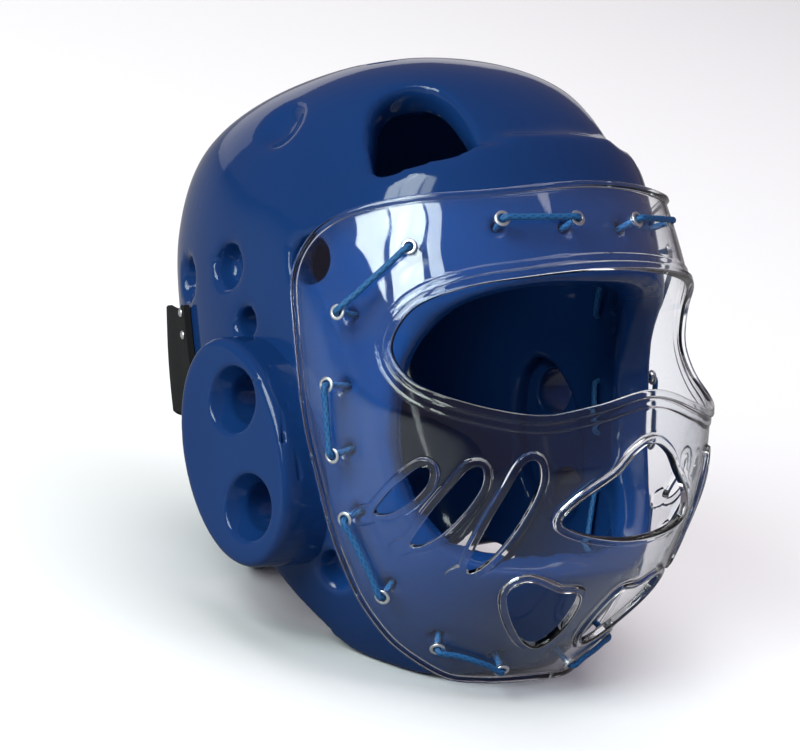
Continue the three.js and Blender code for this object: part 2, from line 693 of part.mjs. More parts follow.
// Ear pad: rounded oval rings from inside the wall to the flat outer face, with two funnel-shaped holes
function padSolid(foam) {
  const rings = PAD_ROWS.map((row) => {
    const oval = earOval(PAD, row.half, row.rise, FACETS.pad);
    return oval.map((flat) => new THREE.Vector3(row.x, flat.x, flat.y));
  });
  let pad = toSolid(loft(rings, [centroid(rings[0]), centroid(rings.at(-1))])).subtract(foam);
  for (const hole of EAR_HOLES) {
    const outward = new THREE.Vector3(-1, 0, 0);
    const face = new THREE.Vector3(PAD_ROWS.at(-1).x, hole.y, hole.z);
    const { mouth, throat, funnel } = EAR_HOLE;
    pad = pad.subtract(drill(face, outward, mouth, throat, funnel, FACETS.earHole));
    pad = pad.subtract(drill(face, outward, throat, throat, THROUGH, FACETS.earHole));
  }
  return pad;
}

// Rear strap: a flat band round the back of the foam
function strapPlace(angle, share) {
  const free = smooth(Math.abs(angle), STRAP.flatTo, STRAP.standTo);
  const z = THREE.MathUtils.lerp(STRAP.low, STRAP.high, share) + STRAP.rise * free;
  const station = stationAt(foamSurface, z);
  const out = normalOn(foamSurface, angle, station);
  const stand = STRAP.seat + free * THREE.MathUtils.lerp(STAND.low, STAND.high, share);
  return { point: pointOn(foamSurface, angle, station).addScaledVector(out, stand), out };
}

function strapPoint(angle, share, height) {
  const { point, out } = strapPlace(angle, share);
  return point.addScaledVector(out, height);
}

function strapGeometry() {
  const half = 180 - STRAP.end;
  const rings = Array.from({ length: STRAP.steps + 1 }, (_, k) => {
    const turn = -half + 2 * half * k / STRAP.steps;
    const angle = turn < 0 ? 180 + turn : turn - 180;
    const shares = [0, 1 / 3, 2 / 3, 1];
    const inner = shares.map((share) => strapPoint(angle, share, 0));
    const outer = shares.map((share) => strapPoint(angle, share, STRAP.thickness)).reverse();
    return [...inner, ...outer];
  });
  return loft(rings, [centroid(rings[0]), centroid(rings.at(-1))]);
}

function rivetGeometry(angle, share) {
  const profile = [[0, 0], [1, 0], [0.75, 0.7], [0, 1]];
  const points = profile.map(([x, y]) => new THREE.Vector2(x * RIVETS.radius, y * RIVETS.height));
  const geometry = new THREE.LatheGeometry(points, FACETS.eyelet);
  const { out } = strapPlace(angle, share);
  geometry.applyQuaternion(new THREE.Quaternion().setFromUnitVectors(new THREE.Vector3(0, 1, 0), out));
  const seat = strapPoint(angle, share, STRAP.thickness + GAP);
  geometry.translate(seat.x, seat.y, seat.z);
  return geometry;
}

// Assembly
const guard = new THREE.Group();
const add = (name, geometry, material) => {
  const mesh = new THREE.Mesh(geometry, material);
  mesh.name = name;
  guard.add(mesh);
};
const mirrored = (place, sign) => ({ angle: sign * place.angle, z: place.z });

const laces = SIDES.flatMap((side) => LACES.map((lace) => ({
  name: `${lace.name}_${side.name}`,
  from: mirrored(lace.from, side.sign),
  to: mirrored(lace.to, side.sign),
})));
const eyelets = laces.flatMap((lace) => [
  { name: `eyelet_${lace.name}_a`, place: lace.from },
  { name: `eyelet_${lace.name}_b`, place: lace.to },
]);

const hollowGeometry = headHollow();
const hollowMesh = new THREE.Mesh(hollowGeometry, new THREE.MeshBasicMaterial({ side: THREE.DoubleSide }));
const visor = visorGeometry(eyelets.map((eyelet) => eyelet.place));
let foam = toSolid(foamForm(0)).subtract(toSolid(hollowGeometry));
for (const cutter of [faceCutter(), hemCutter(), slitCutter()]) foam = foam.subtract(cutter);
const jawPoints = pointsOf(toGeometry(foam)).filter((p) => p.y < HEM_ROWS[6].y);
const jawLevel = Math.min(...jawPoints.map((p) => p.dot(tableNormal)));
const cutters = [tableCutter(jawLevel + FLATTENED)];
for (const { sign } of SIDES) {
  cutters.push(ventCutter(sign));
  for (const dent of DENTS) {
    const station = stationAt(foamSurface, dent.z);
    const point = pointOn(foamSurface, -sign * dent.angle, station);
    const normal = normalOn(foamSurface, -sign * dent.angle, station);
    cutters.push(drill(point, normal, dent.radius, dent.floor, dent.depth, FACETS.hole));
  }
  cutters.push(earCutter(sign));
}
for (const { place } of eyelets) cutters.push(laceChannel(place, hollowMesh));
for (const cutter of cutters) foam = foam.subtract(cutter);
add('foam_shell', toGeometry(foam), foamBlue);

const rightPad = toGeometry(padSolid(toSolid(foamForm(GAP))));
const leftPad = turnedOver(rightPad.clone().scale(-1, 1, 1));
add('ear_pad_right', rightPad, foamBlue);
add('ear_pad_left', leftPad, foamBlue);
add('visor', visor, clearSheet);
for (const eyelet of eyelets) add(eyelet.name, eyeletGeometry(eyelet.place), nickel);
for (const lace of laces) add(`lace_${lace.name}`, laceGeometry(laceStations(lace, hollowMesh)), laceBlue);
add('rear_strap', strapGeometry(), blackWeb);
for (const side of SIDES) {
  RIVETS.shares.forEach((share, k) => {
    add(`strap_rivet_${side.name}_${k + 1}`, rivetGeometry(-side.sign * RIVETS.angle, share), nickel);
  });
}

// Rest pose: tilted back, with the origin under the middle of the guard's box
const headGuard = new THREE.Group();
guard.rotation.x = -radians(REST_TILT);
headGuard.add(guard);
headGuard.updateMatrixWorld(true);
const box = new THREE.Box3().setFromObject(headGuard, true);
const middle = box.getCenter(new THREE.Vector3());
guard.position.set(-middle.x, -middle.y, -box.min.z);

export default headGuard;
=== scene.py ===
# Head guard with visor: the finished look of every piece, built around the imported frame.
# Shapes are worked out upright, as the guard is worn, in millimetres: the front is -Y, its left is +X, up
# is +Z. Each finished piece is then tilted back and set down where the frame has it, in metres.
import math

import bpy
import numpy as np
from mathutils import Matrix, Vector
from mathutils.geometry import delaunay_2d_cdt


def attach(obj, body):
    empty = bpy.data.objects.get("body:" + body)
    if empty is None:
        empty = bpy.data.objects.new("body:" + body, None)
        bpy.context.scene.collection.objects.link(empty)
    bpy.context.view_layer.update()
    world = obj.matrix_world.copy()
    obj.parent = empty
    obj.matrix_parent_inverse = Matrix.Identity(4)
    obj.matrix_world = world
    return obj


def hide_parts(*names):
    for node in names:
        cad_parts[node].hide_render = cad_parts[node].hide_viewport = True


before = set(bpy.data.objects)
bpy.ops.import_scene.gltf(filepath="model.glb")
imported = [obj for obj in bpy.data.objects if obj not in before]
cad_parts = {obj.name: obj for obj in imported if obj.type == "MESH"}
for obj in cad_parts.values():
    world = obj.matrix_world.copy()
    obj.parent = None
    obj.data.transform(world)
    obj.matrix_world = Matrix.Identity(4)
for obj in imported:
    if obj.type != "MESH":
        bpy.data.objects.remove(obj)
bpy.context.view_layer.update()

MM = 0.001
REST_TILT = math.radians(32)
REST_SHIFT = Vector((0, -18.253, 76.359)) * MM
TO_REST = Matrix.Translation(REST_SHIFT) @ Matrix.Rotation(-REST_TILT, 4, "X")
SIDES = {"right": -1, "left": 1}

# Foam: height, half width, reach to the front, reach to the back
FOAM_ROWS = np.array([
    (176, 0, 0, 0), (170, 42, 45, 54), (150, 73, 82, 93), (114, 89, 105, 110), (68, 94, 110, 112),
    (20, 94, 108, 107), (-25, 90, 103, 96), (-50, 83, 95, 87), (-65, 75, 84, 78), (-80, 64, 67, 66),
    (-95, 49, 46, 52), (-108, 34, 26, 38),
], dtype=float)
FOAM_SQUARE = 2.25
WALL = 17
# Forehead band: its upper edge is highest at the front, and it fades out at the temples and the brow
BAND = dict(rise=5, edge=112, peak=12, spread=55, ledge=3, fade_from=48, fade_to=75, low=40, full=60)
# Face opening from the front, across and up, and hem from the side, back and up
FACE_EDGE = [
    (0, 57), (40, 56), (64, 50), (77, 34), (81, 8), (80, -16), (74, -36), (60, -54), (38, -63), (0, -65),
]
HEM_EDGE = [
    (-140, -102), (-90, -102), (-40, -102), (-17, -100), (-2, -93), (8, -83), (18, -63), (26, -47),
    (36, -40), (60, -40), (130, -40),
]
SLIT = dict(half=11, top=100)
VENT = dict(angle=41.5, z=128.6)
VENT_EDGE = [(-21, -17), (-20, 4), (-16, 19), (-6, 25), (6, 22), (16, 5), (20, -9), (18, -11), (-19, -18)]
# Funnel of a crown vent: height over the foam, and how far it is wider there than the vent
VENT_FUNNEL = [(30, 26), (4, 9), (-3, 4.5), (-9, 1.2), (-16, 0), (-40, 0)]
THROUGH = 40
# Dents and holes: angle from the front, height, radius at the mouth, radius at the floor, depth
DENTS = [
    (99, 88, 10.5, 7.5, 11), (120, 89, 10.5, 7.5, 11), (94.5, 61, 7, 6, 14), (76, 81, 10.5, 9, THROUGH),
    (83.5, -52, 9.5, 6.5, 12), (49.5, 172.5, 7, 6, THROUGH),
]
DISH = dict(angle=86.5, z=146, radius=14, depth=6)
LACE_HOLE = dict(mouth=3.6, throat=2, depth=9)
# Dipped coats: the size of the cells that they are laid out on, and how many rounds of smoothing
FOAM_COAT = dict(cell=2, rounds=8)
PAD_COAT = dict(cell=0.8, rounds=10)

# Ear pad: distance from the middle, half width, half height
PAD_ROWS = [(104, 33, 51), (111, 32.8, 50.8), (113.6, 31.8, 49.8), (114.7, 30, 48), (115, 27, 45)]
PAD_FACE = PAD_ROWS[-1][0]
PAD_SUNK = 9
PAD = dict(y=7, z=4, lean=math.radians(-8))
EAR_HOLES = [(2, 26), (0, -21)]
EAR_HOLE = dict(mouth=15, throat=10.5, funnel=9)
EAR_OPENING = dict(y=1, z=2.5, half=20, rise=40)
# Folds of the pads' skin: the points that each runs through on the right, its half width and its depth
FOLDS = [
    ([(-105, -14, 37), (-110.5, -19, 27), (-110.5, -23, 15), (-112.5, -25, 4)], 1.5, 4),
    ([(-106, -22, 20), (-108, -24.5, 5), (-106, -26, -12)], 1.6, 1.2),
    ([(-115, -10, 32), (-114, -16, 31)], 0.9, 1.2),
]

# Visor, outer face: height, half width, reach to the front, squareness of the section
VISOR_ROWS = np.array([
    (112, 102.5, 116, 2.25), (97, 103.5, 120, 2.25), (76, 105, 125, 2.25), (44, 106, 131, 2.22),
    (10, 106, 135.5, 2.14), (-16, 101.5, 132, 2.12), (-34, 98, 124.5, 2.13), (-58, 89.5, 106.5, 2.14),
    (-74, 80.5, 91.5, 2.1), (-90, 65.5, 69, 2), (-109, 42, 40, 2),
], dtype=float)
SHEET = 2
# Outlines on the visor: angle from the front and height, one half from top to bottom where both are alike
VISOR_EDGE = [
    (0, 99.5), (28, 97.4), (50, 98.6), (64, 96), (72, 89), (77, 76), (78.4, 52), (78.4, 0), (78, -28),
    (77, -48), (74.2, -70), (67.5, -88.4), (54, -101.5), (34, -105.8), (0, -107),
]
EYE_EDGE = [
    (0, 59.5), (24, 57.8), (40, 56), (52, 49.5), (57.5, 36), (55, 22), (46, 10), (29, -0.7), (16, 1),
    (0, 6.5),
]
MOUTH_EDGE = [(0, -16), (5, -20), (9.5, -28), (19, -38.5), (22, -44.7), (18, -49), (0, -54)]
SLOTS = [
    dict(foot=(-66.5, -31), head=(-54.3, -15.5), bow=7.5),
    dict(foot=(-59, -46.5), head=(-43.5, -18), bow=10),
    dict(foot=(-44.8, -60.5), head=(-31.8, -18), bow=11.5),
]
SLOT_UPPER_BOW = 2.4
SCOOP = dict(reach=(-7, -1.5), half_width=0.8)
CHIN_VENT = [
    (-32.5, -71), (-28, -67.6), (-16, -73), (-8, -75), (-7, -88), (-12, -93.2), (-20, -91.5), (-29, -82),
]
# Raised edges of the visor: height, and the distances from the edge between which it falls off
LIP = dict(height=1.5, flat_to=2.8, ends=4)
EYE_LIP = dict(height=1.2, flat_to=3, ends=4)
EYE_STEP = dict(height=0.6, flat_to=7, ends=8)
RIM = dict(height=1.6, flat_to=2, ends=3.2)
EDGE_ROUND = 0.8
BACK_ROUND = 0.5

# Laces: the two eyelets of each, on the right side
LACES = {
    "brow": ((-8.2, 82.4), (-27.2, 84)),
    "temple": ((-49.8, 76.7), (-68, 54.3)),
    "cheek": ((-72.4, 24.7), (-73.6, -5)),
    "jaw": ((-73.6, -32), (-68, -66)),
    "chin": ((-53.5, -90), (-24.5, -102)),
}
LACE_RADIUS = 1.35
LACE = dict(corner=2.2, inside=2.2, clear=0.3, off_sheet=0.4, pitch=0.9, flat=1.05, thick=0.92)
EYELET = dict(bore=1.9, barrel=2.4, flange=3.5, plate=0.8, seat=0.3)

# Strap: it is riveted flat to the foam, then rises and stands off it
STRAP = dict(low=29, high=77, rise=5, thick=3, seat=0.5, end=118, flat_to=123, stand_to=138)
STAND = dict(low=6, high=2.5)
STRAP_CORNER = dict(share=0.014, drop=0.6)
STRAP_YARNS = (110, 200)
RIVETS = dict(angle=120.2, shares=(0.94, 0.73), radius=2, height=1)


# Curves and section surfaces

def smoothstep(value, low, high):
    share = np.clip((value - low) / (high - low), 0, 1)
    return share * share * (3 - 2 * share)


def unit(vectors):
    return vectors / np.linalg.norm(vectors, axis=-1, keepdims=True)


def with_ends(rows, pole):
    """The rows with one more at each end, for a smooth curve that runs through all of them."""
    first = rows[1] * (1, -1, -1, -1) if pole else 2 * rows[0] - rows[1]
    return np.vstack([first, rows, 2 * rows[-1] - rows[-2]])


FOAM = with_ends(FOAM_ROWS, True)
VISOR = with_ends(VISOR_ROWS, False)
FOAM_LAST = len(FOAM_ROWS) - 1
VISOR_LAST = len(VISOR_ROWS) - 1


def row_at(table, station):
    """The row at a station, on a smooth curve through the rows between the two ends."""
    station = np.asarray(station, dtype=float)
    i = np.clip(np.floor(station).astype(int), 0, len(table) - 4)
    s = (station - i)[..., None]
    a, b, c, d = table[i], table[i + 1], table[i + 2], table[i + 3]
    square = 2 * a - 5 * b + 4 * c - d
    cube = 3 * b - a - 3 * c + d
    return 0.5 * (2 * b + (c - a) * s + square * s ** 2 + cube * s ** 3)


def section_point(row, angle, square, back):
    """A point on a level section, by its angle from the front."""
    across = np.sin(np.radians(angle))
    along = np.cos(np.radians(angle))
    reach = np.where(along >= 0, -row[..., 2], back)
    x = row[..., 1] * np.sign(across) * np.abs(across) ** (2 / square)
    y = reach * np.abs(along) ** (2 / square)
    return np.stack([x, y, row[..., 0]], -1)


def foam_point(angle, station):
    row = row_at(FOAM, station)
    return section_point(row, angle, FOAM_SQUARE, row[..., 3])


def visor_point(angle, station):
    row = row_at(VISOR, station)
    return section_point(row, angle, row[..., 3], -row[..., 2])


def normal_of(surface, angle, station, last):
    turn, step = 1.0, 0.03
    around = surface(angle + turn, station) - surface(angle - turn, station)
    below = surface(angle, np.minimum(station + step, last))
    downward = below - surface(angle, np.maximum(station - step, 0))
    normal = np.cross(downward, around)
    length = np.linalg.norm(normal, axis=-1, keepdims=True)
    return np.where(length > 1e-9, normal / np.maximum(length, 1e-9), (0.0, 0.0, 1.0))


def station_at(table, z):
    """The station at a height, found by halving."""
    low = np.zeros_like(np.asarray(z, dtype=float))
    high = low + len(table) - 3
    for _ in range(40):
        middle = (low + high) / 2
        above = row_at(table, middle)[..., 0] > z
        low = np.where(above, middle, low)
        high = np.where(above, high, middle)
    return (low + high) / 2


def foam_place(angle, z):
    station = station_at(FOAM, z)
    return foam_point(angle, station), normal_of(foam_point, angle, station, FOAM_LAST)


def visor_place(angle, z):
    station = station_at(VISOR, z)
    return visor_point(angle, station), normal_of(visor_point, angle, station, VISOR_LAST)


def band_rise(angle, z):
    """How far the forehead band stands out of the foam."""
    spread = np.minimum(np.abs(angle) / BAND["spread"], 1)
    edge = BAND["edge"] + BAND["peak"] * np.cos(spread * np.pi / 2) ** 2
    below = 1 - smoothstep(z, edge - BAND["ledge"] / 2, edge + BAND["ledge"] / 2)
    front = 1 - smoothstep(np.abs(angle), BAND["fade_from"], BAND["fade_to"])
    return BAND["rise"] * below * front * smoothstep(z, BAND["low"], BAND["full"])


def whole_outline(half):
    """Both halves of an outline that is given from its top to its bottom on one side."""
    half = np.asarray(half, dtype=float)
    return np.vstack([half, half[-2:0:-1] * (-1, 1)])


def between(a, b, start, end, at):
    """The point on the line through a and b that a value between start and end picks out."""
    return ((end - at) * a + (at - start) * b) / (end - start)


def round_loop(points, count):
    """Evenly spaced points on a smooth closed curve through the given points."""
    points = np.asarray(points, dtype=float)
    total = len(points)
    dense = []
    for i in range(total):
        p = [points[(i + k - 1) % total] for k in range(4)]
        t = [0.0]
        for k in range(3):
            t.append(t[-1] + np.linalg.norm(p[k + 1] - p[k]) ** 0.5)
        for s in np.linspace(t[1], t[2], 24, endpoint=False):
            a = [between(p[k], p[k + 1], t[k], t[k + 1], s) for k in range(3)]
            b = [between(a[k], a[k + 1], t[k], t[k + 2], s) for k in range(2)]
            dense.append(between(b[0], b[1], t[1], t[2], s))
    dense = np.array(dense + dense[:1])
    run = np.concatenate([[0], np.cumsum(np.linalg.norm(np.diff(dense, axis=0), axis=1))])
    places = np.linspace(0, run[-1], count, endpoint=False)
    return np.stack([np.interp(places, run, dense[:, k]) for k in range(dense.shape[1])], -1)


def loop_length(points):
    return np.linalg.norm(np.roll(points, -1, axis=0) - points, axis=1).sum()


# Working by hand: primitives, cuts and modifiers

def clear_selection():
    if bpy.context.object and bpy.context.object.mode != "OBJECT":
        bpy.ops.object.mode_set(mode="OBJECT")
    bpy.ops.object.select_all(action="DESELECT")


def pick(piece):
    clear_selection()
    piece.select_set(True)
    bpy.context.view_layer.objects.active = piece


def read_points(piece):
    flat = np.empty(len(piece.data.vertices) * 3)
    piece.data.vertices.foreach_get("co", flat)
    return flat.reshape(-1, 3)


def write_points(piece, points):
    piece.data.vertices.foreach_set("co", np.ascontiguousarray(points, dtype=float).ravel())
    piece.data.update()


def apply_modifiers(piece):
    pick(piece)
    for step in list(piece.modifiers):
        bpy.ops.object.modifier_apply(modifier=step.name)


def skin(name, rings, loop=False):
    """A grid rolled up into a tube through the rings, with capped ends or joined end to end."""
    rings = np.asarray(rings, dtype=float)
    rows, columns = rings.shape[:2]
    bands = rows if loop else rows - 1
    clear_selection()
    bpy.ops.mesh.primitive_grid_add(x_subdivisions=columns, y_subdivisions=bands, size=2)
    piece = bpy.context.object
    piece.name = name
    place = read_points(piece)
    column = np.rint((place[:, 0] + 1) / 2 * columns).astype(int) % columns
    row = np.rint((place[:, 1] + 1) / 2 * bands).astype(int) % rows
    write_points(piece, rings[row, column] * MM)
    bpy.ops.object.mode_set(mode="EDIT")
    bpy.ops.mesh.select_all(action="SELECT")
    bpy.ops.mesh.remove_doubles(threshold=1e-7)
    if not loop:
        bpy.ops.mesh.fill_holes(sides=0)
    bpy.ops.mesh.select_all(action="SELECT")
    bpy.ops.mesh.normals_make_consistent(inside=False)
    bpy.ops.object.mode_set(mode="OBJECT")
    return piece


def cut(piece, cutter):
    step = piece.modifiers.new("cut", "BOOLEAN")
    step.operation = "DIFFERENCE"
    step.solver = "EXACT"
    step.object = cutter
    apply_modifiers(piece)
    bpy.data.objects.remove(cutter, do_unlink=True)


def drill(point, normal, mouth, floor, depth):
    """Tapered round cutter, from a little outside the surface down to its floor."""
    above = 4
    slope = (mouth - floor) / depth
    middle = np.asarray(point) + np.asarray(normal) * (above - depth) / 2
    clear_selection()
    bpy.ops.mesh.primitive_cone_add(
        vertices=40, radius1=floor * MM, radius2=(mouth + slope * above) * MM, depth=(depth + above) * MM,
        location=Vector(middle) * MM, rotation=Vector(normal).to_track_quat("Z", "Y").to_euler())
    return bpy.context.object


def joined(pieces):
    clear_selection()
    for piece in pieces:
        piece.select_set(True)
    bpy.context.view_layer.objects.active = pieces[0]
    bpy.ops.object.join()
    return pieces[0]


def dip(piece, cell, rounds):
    """One even skin over the whole body, with every edge rounded as a dipped coat rounds it."""
    coat = piece.modifiers.new("coat", "REMESH")
    coat.mode = "VOXEL"
    coat.voxel_size = cell * MM
    settle = piece.modifiers.new("settle", "SMOOTH")
    settle.iterations = rounds
    apply_modifiers(piece)


def set_down(piece, smooth_angle=None):
    """Applies the piece's own place, tilts it to rest, and smooths its shading."""
    pick(piece)
    bpy.ops.object.transform_apply(location=True, rotation=True, scale=True)
    piece.data.transform(TO_REST)
    piece.data.update()
    if smooth_angle is None:
        bpy.ops.object.shade_smooth()
    else:
        bpy.ops.object.shade_smooth_by_angle(angle=math.radians(smooth_angle))


def finish_piece(piece, material, slot, *nodes):
    piece.data.materials.clear()
    piece.data.materials.append(material)
    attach(piece, "root")
    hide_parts(*nodes)


# Materials

def new_group(name, inputs, outputs):
    group = bpy.data.node_groups.new(name, "ShaderNodeTree")
    for label, kind, value in inputs:
        socket = group.interface.new_socket(name=label, in_out="INPUT", socket_type=kind)
        if value is not None:
            socket.default_value = value
    for label, kind in outputs:
        group.interface.new_socket(name=label, in_out="OUTPUT", socket_type=kind)
    return group, group.nodes.new("NodeGroupInput"), group.nodes.new("NodeGroupOutput")


def math_node(tree, operation, *values):
    node = tree.nodes.new("ShaderNodeMath")
    node.operation = operation
    for socket, value in zip(node.inputs, values):
        if isinstance(value, (int, float)):
            socket.default_value = value
        else:
            tree.links.new(value, socket)
    return node.outputs[0]


def noise(tree, vector, scale, detail):
    node = tree.nodes.new("ShaderNodeTexNoise")
    node.inputs["Detail"].default_value = detail
    tree.links.new(vector, node.inputs["Vector"])
    tree.links.new(scale, node.inputs["Scale"])
    return node.outputs["Fac"]


def coat_group():
    """Waves and fine creases of a poured or dipped coat."""
    group, source, sink = new_group(
        "dipped coat",
        [("Vector", "NodeSocketVector", None), ("Wave Scale", "NodeSocketFloat", 18.0),
         ("Crease Scale", "NodeSocketFloat", 60.0), ("Crease", "NodeSocketFloat", 0.3)],
        [("Height", "NodeSocketFloat"), ("Mask", "NodeSocketFloat")])
    wave = noise(group, source.outputs["Vector"], source.outputs["Wave Scale"], 1.0)
    crease = noise(group, source.outputs["Vector"], source.outputs["Crease Scale"], 3.0)
    half_width = 0.05
    fold = math_node(group, "SUBTRACT", crease, 0.5)
    fold = math_node(group, "ABSOLUTE", fold)
    fold = math_node(group, "MINIMUM", fold, half_width)
    fold = math_node(group, "MULTIPLY", fold, source.outputs["Crease"])
    height = math_node(group, "ADD", wave, fold)
    group.links.new(height, sink.inputs["Height"])
    group.links.new(wave, sink.inputs["Mask"])
    return group


def weave_group():
    """Crossing yarns that follow the piece's own map, and painted shade: darker in the grooves between the
    yarns, lighter on their crests.
    """
    group, source, sink = new_group(
        "crossing yarns",
        [("Vector", "NodeSocketVector", None), ("Across", "NodeSocketFloat", 12.0),
         ("Along", "NodeSocketFloat", 60.0)],
        [("Height", "NodeSocketFloat"), ("Groove Shade", "NodeSocketFloat")])
    split = group.nodes.new("ShaderNodeSeparateXYZ")
    group.links.new(source.outputs["Vector"], split.inputs[0])
    across = math_node(group, "MULTIPLY", split.outputs["X"], source.outputs["Across"])
    along = math_node(group, "MULTIPLY", split.outputs["Y"], source.outputs["Along"])
    yarns = []
    for slant in ("ADD", "SUBTRACT"):
        turns = math_node(group, slant, along, across)
        yarns.append(math_node(group, "SINE", math_node(group, "MULTIPLY", turns, math.tau)))
    height = math_node(group, "MAXIMUM", *yarns)
    group.links.new(height, sink.inputs["Height"])
    # Painted shade: the colour is darkened in the grooves between the yarns and lightened on their crests.
    shade = math_node(group, "MULTIPLY_ADD", height, 0.25, 0.7)
    group.links.new(shade, sink.inputs["Groove Shade"])
    return group


COAT = coat_group()
WEAVE = weave_group()


def new_material(name):
    material = bpy.data.materials.new(name)
    material.use_nodes = True
    tree = material.node_tree
    return material, tree, tree.nodes["Principled BSDF"]


def place_group(tree, group, vector, **values):
    node = tree.nodes.new("ShaderNodeGroup")
    node.node_tree = group
    tree.links.new(vector, node.inputs["Vector"])
    for label, value in values.items():
        node.inputs[label.replace("_", " ")].default_value = value
    return node


def two_tone(tree, factor, first, second):
    """A ramp between two colours, each given with its place on the ramp."""
    ramp = tree.nodes.new("ShaderNodeValToRGB")
    for stop, (position, colour) in zip(ramp.color_ramp.elements, (first, second)):
        stop.position = position
        stop.color = (*colour, 1)
    tree.links.new(factor, ramp.inputs["Fac"])
    return ramp.outputs["Color"]


def add_bump(tree, shader, height, strength, distance):
    bump = tree.nodes.new("ShaderNodeBump")
    bump.inputs["Strength"].default_value = strength
    bump.inputs["Distance"].default_value = distance
    tree.links.new(height, bump.inputs["Height"])
    tree.links.new(bump.outputs["Normal"], shader.inputs["Normal"])


def vinyl_material():
    material, tree, shader = new_material("blue dipped vinyl")
    place = tree.nodes.new("ShaderNodeTexCoord").outputs["Object"]
    coat = place_group(tree, COAT, place, Wave_Scale=14.0, Crease_Scale=55.0, Crease=0.5)
    dark, light = (0.0070, 0.038, 0.152), (0.0080, 0.043, 0.172)
    colour = two_tone(tree, coat.outputs["Mask"], (0.3, dark), (0.7, light))
    tree.links.new(colour, shader.inputs["Base Color"])
    shader.inputs["Roughness"].default_value = 0.07
    shader.inputs["IOR"].default_value = 1.45
    shader.inputs["Specular IOR Level"].default_value = 0.4
    add_bump(tree, shader, coat.outputs["Height"], 0.25, 0.0012)
    return material


def visor_material():
    material, tree, shader = new_material("clear visor sheet")
    place = tree.nodes.new("ShaderNodeTexCoord").outputs["Object"]
    coat = place_group(tree, COAT, place, Wave_Scale=70.0, Crease=0.0)
    add_bump(tree, shader, coat.outputs["Height"], 0.05, 0.0008)
    shader.inputs["Base Color"].default_value = (0.97, 0.985, 1.0, 1)
    shader.inputs["Roughness"].default_value = 0.03
    shader.inputs["IOR"].default_value = 1.5
    shader.inputs["Transmission Weight"].default_value = 1.0
    through = tree.nodes.new("ShaderNodeBsdfTransparent")
    through.inputs["Color"].default_value = (0.93, 0.95, 0.97, 1)
    path = tree.nodes.new("ShaderNodeLightPath")
    mix = tree.nodes.new("ShaderNodeMixShader")
    tree.links.new(path.outputs["Is Shadow Ray"], mix.inputs["Fac"])
    tree.links.new(shader.outputs["BSDF"], mix.inputs[1])
    tree.links.new(through.outputs["BSDF"], mix.inputs[2])
    tree.links.new(mix.outputs["Shader"], tree.nodes["Material Output"].inputs["Surface"])
    return material


def cloth_material(name, dark, light, across, along, strength, rough):
    material, tree, shader = new_material(name)
    place = tree.nodes.new("ShaderNodeTexCoord").outputs["UV"]
    yarn = place_group(tree, WEAVE, place, Across=across, Along=along)
    # One yarn colour: the dark tone is painted shade in the grooves, the light tone painted light on the
    # crests.
    colour = two_tone(tree, yarn.outputs["Groove Shade"], (0.45, dark), (0.95, light))
    tree.links.new(colour, shader.inputs["Base Color"])
    shader.inputs["Roughness"].default_value = rough
    add_bump(tree, shader, yarn.outputs["Height"], strength, 0.0003)
    return material


def nickel_material():
    material, tree, shader = new_material("nickel plate")
    place = tree.nodes.new("ShaderNodeTexCoord").outputs["Object"]
    coat = place_group(tree, COAT, place, Wave_Scale=300.0)
    spread = tree.nodes.new("ShaderNodeMapRange")
    spread.inputs["To Min"].default_value = 0.30
    spread.inputs["To Max"].default_value = 0.46
    tree.links.new(coat.outputs["Mask"], spread.inputs["Value"])
    tree.links.new(spread.outputs["Result"], shader.inputs["Roughness"])
    shader.inputs["Base Color"].default_value = (0.86, 0.86, 0.87, 1)
    shader.inputs["Metallic"].default_value = 1.0
    return material


VINYL = vinyl_material()
CLEAR = visor_material()
LACE_CLOTH = cloth_material(
    "blue lace", dark=(0.006, 0.060, 0.190), light=(0.016, 0.140, 0.370), across=4.0, along=2.0,
    strength=0.4, rough=0.6)
WEBBING = cloth_material(
    "black webbing", dark=(0.0012, 0.0012, 0.0014), light=(0.005, 0.005, 0.0055), across=1.0, along=1.0,
    strength=0.6, rough=0.9)
NICKEL = nickel_material()


# Foam shell

def foam_body(name, outer):
    """A ball drawn out onto the foam's outer surface, or onto the hollow inside it."""
    body_share, floor_z = 0.95, -150
    clear_selection()
    bpy.ops.mesh.primitive_uv_sphere_add(segments=160, ring_count=110, radius=1)
    ball = bpy.context.object
    ball.name = name
    place = read_points(ball)
    angle = np.degrees(np.arctan2(place[:, 0], -place[:, 1]))
    share = np.arccos(np.clip(place[:, 2], -1, 1)) / np.pi
    station = np.minimum(share / body_share, 1) * FOAM_LAST
    points = foam_point(angle, station)
    normal = normal_of(foam_point, angle, station, FOAM_LAST)
    rise = band_rise(angle, points[:, 2]) if outer else np.full(len(points), -WALL)
    points = points + normal * rise[:, None]
    foot = share > body_share + 1e-6
    if not outer:
        points[foot, 2] = floor_z
    inward = np.clip((1 - share) / (1 - body_share) * (1.0 if outer else 1.3), 0, 1)
    points[foot, :2] *= inward[foot, None]
    write_points(ball, points * MM)
    return ball


def face_edge():
    """The edge of the face opening on the foam, and the directions straight out of the foam there."""
    edge = round_loop(whole_outline(FACE_EDGE), 96)
    half = row_at(FOAM, station_at(FOAM, edge[:, 1]))[:, 1]
    across = (np.abs(edge[:, 0]) / half) ** (FOAM_SQUARE / 2)
    angle = np.sign(edge[:, 0]) * np.degrees(np.arcsin(across))
    return foam_place(angle, edge[:, 1])


def face_cutter():
    """A plug whose walls stand square to the foam."""
    front, back, above, below = -200, -30, 30, WALL + 8
    point, out = face_edge()
    outside, inside_foam = point + out * above, point - out * below
    front_end = outside * (1, 0, 1) + (0, front, 0)
    back_end = inside_foam * (1, 0, 1) + (0, back, 0)
    return skin("face cutter", [front_end, outside, inside_foam, back_end])


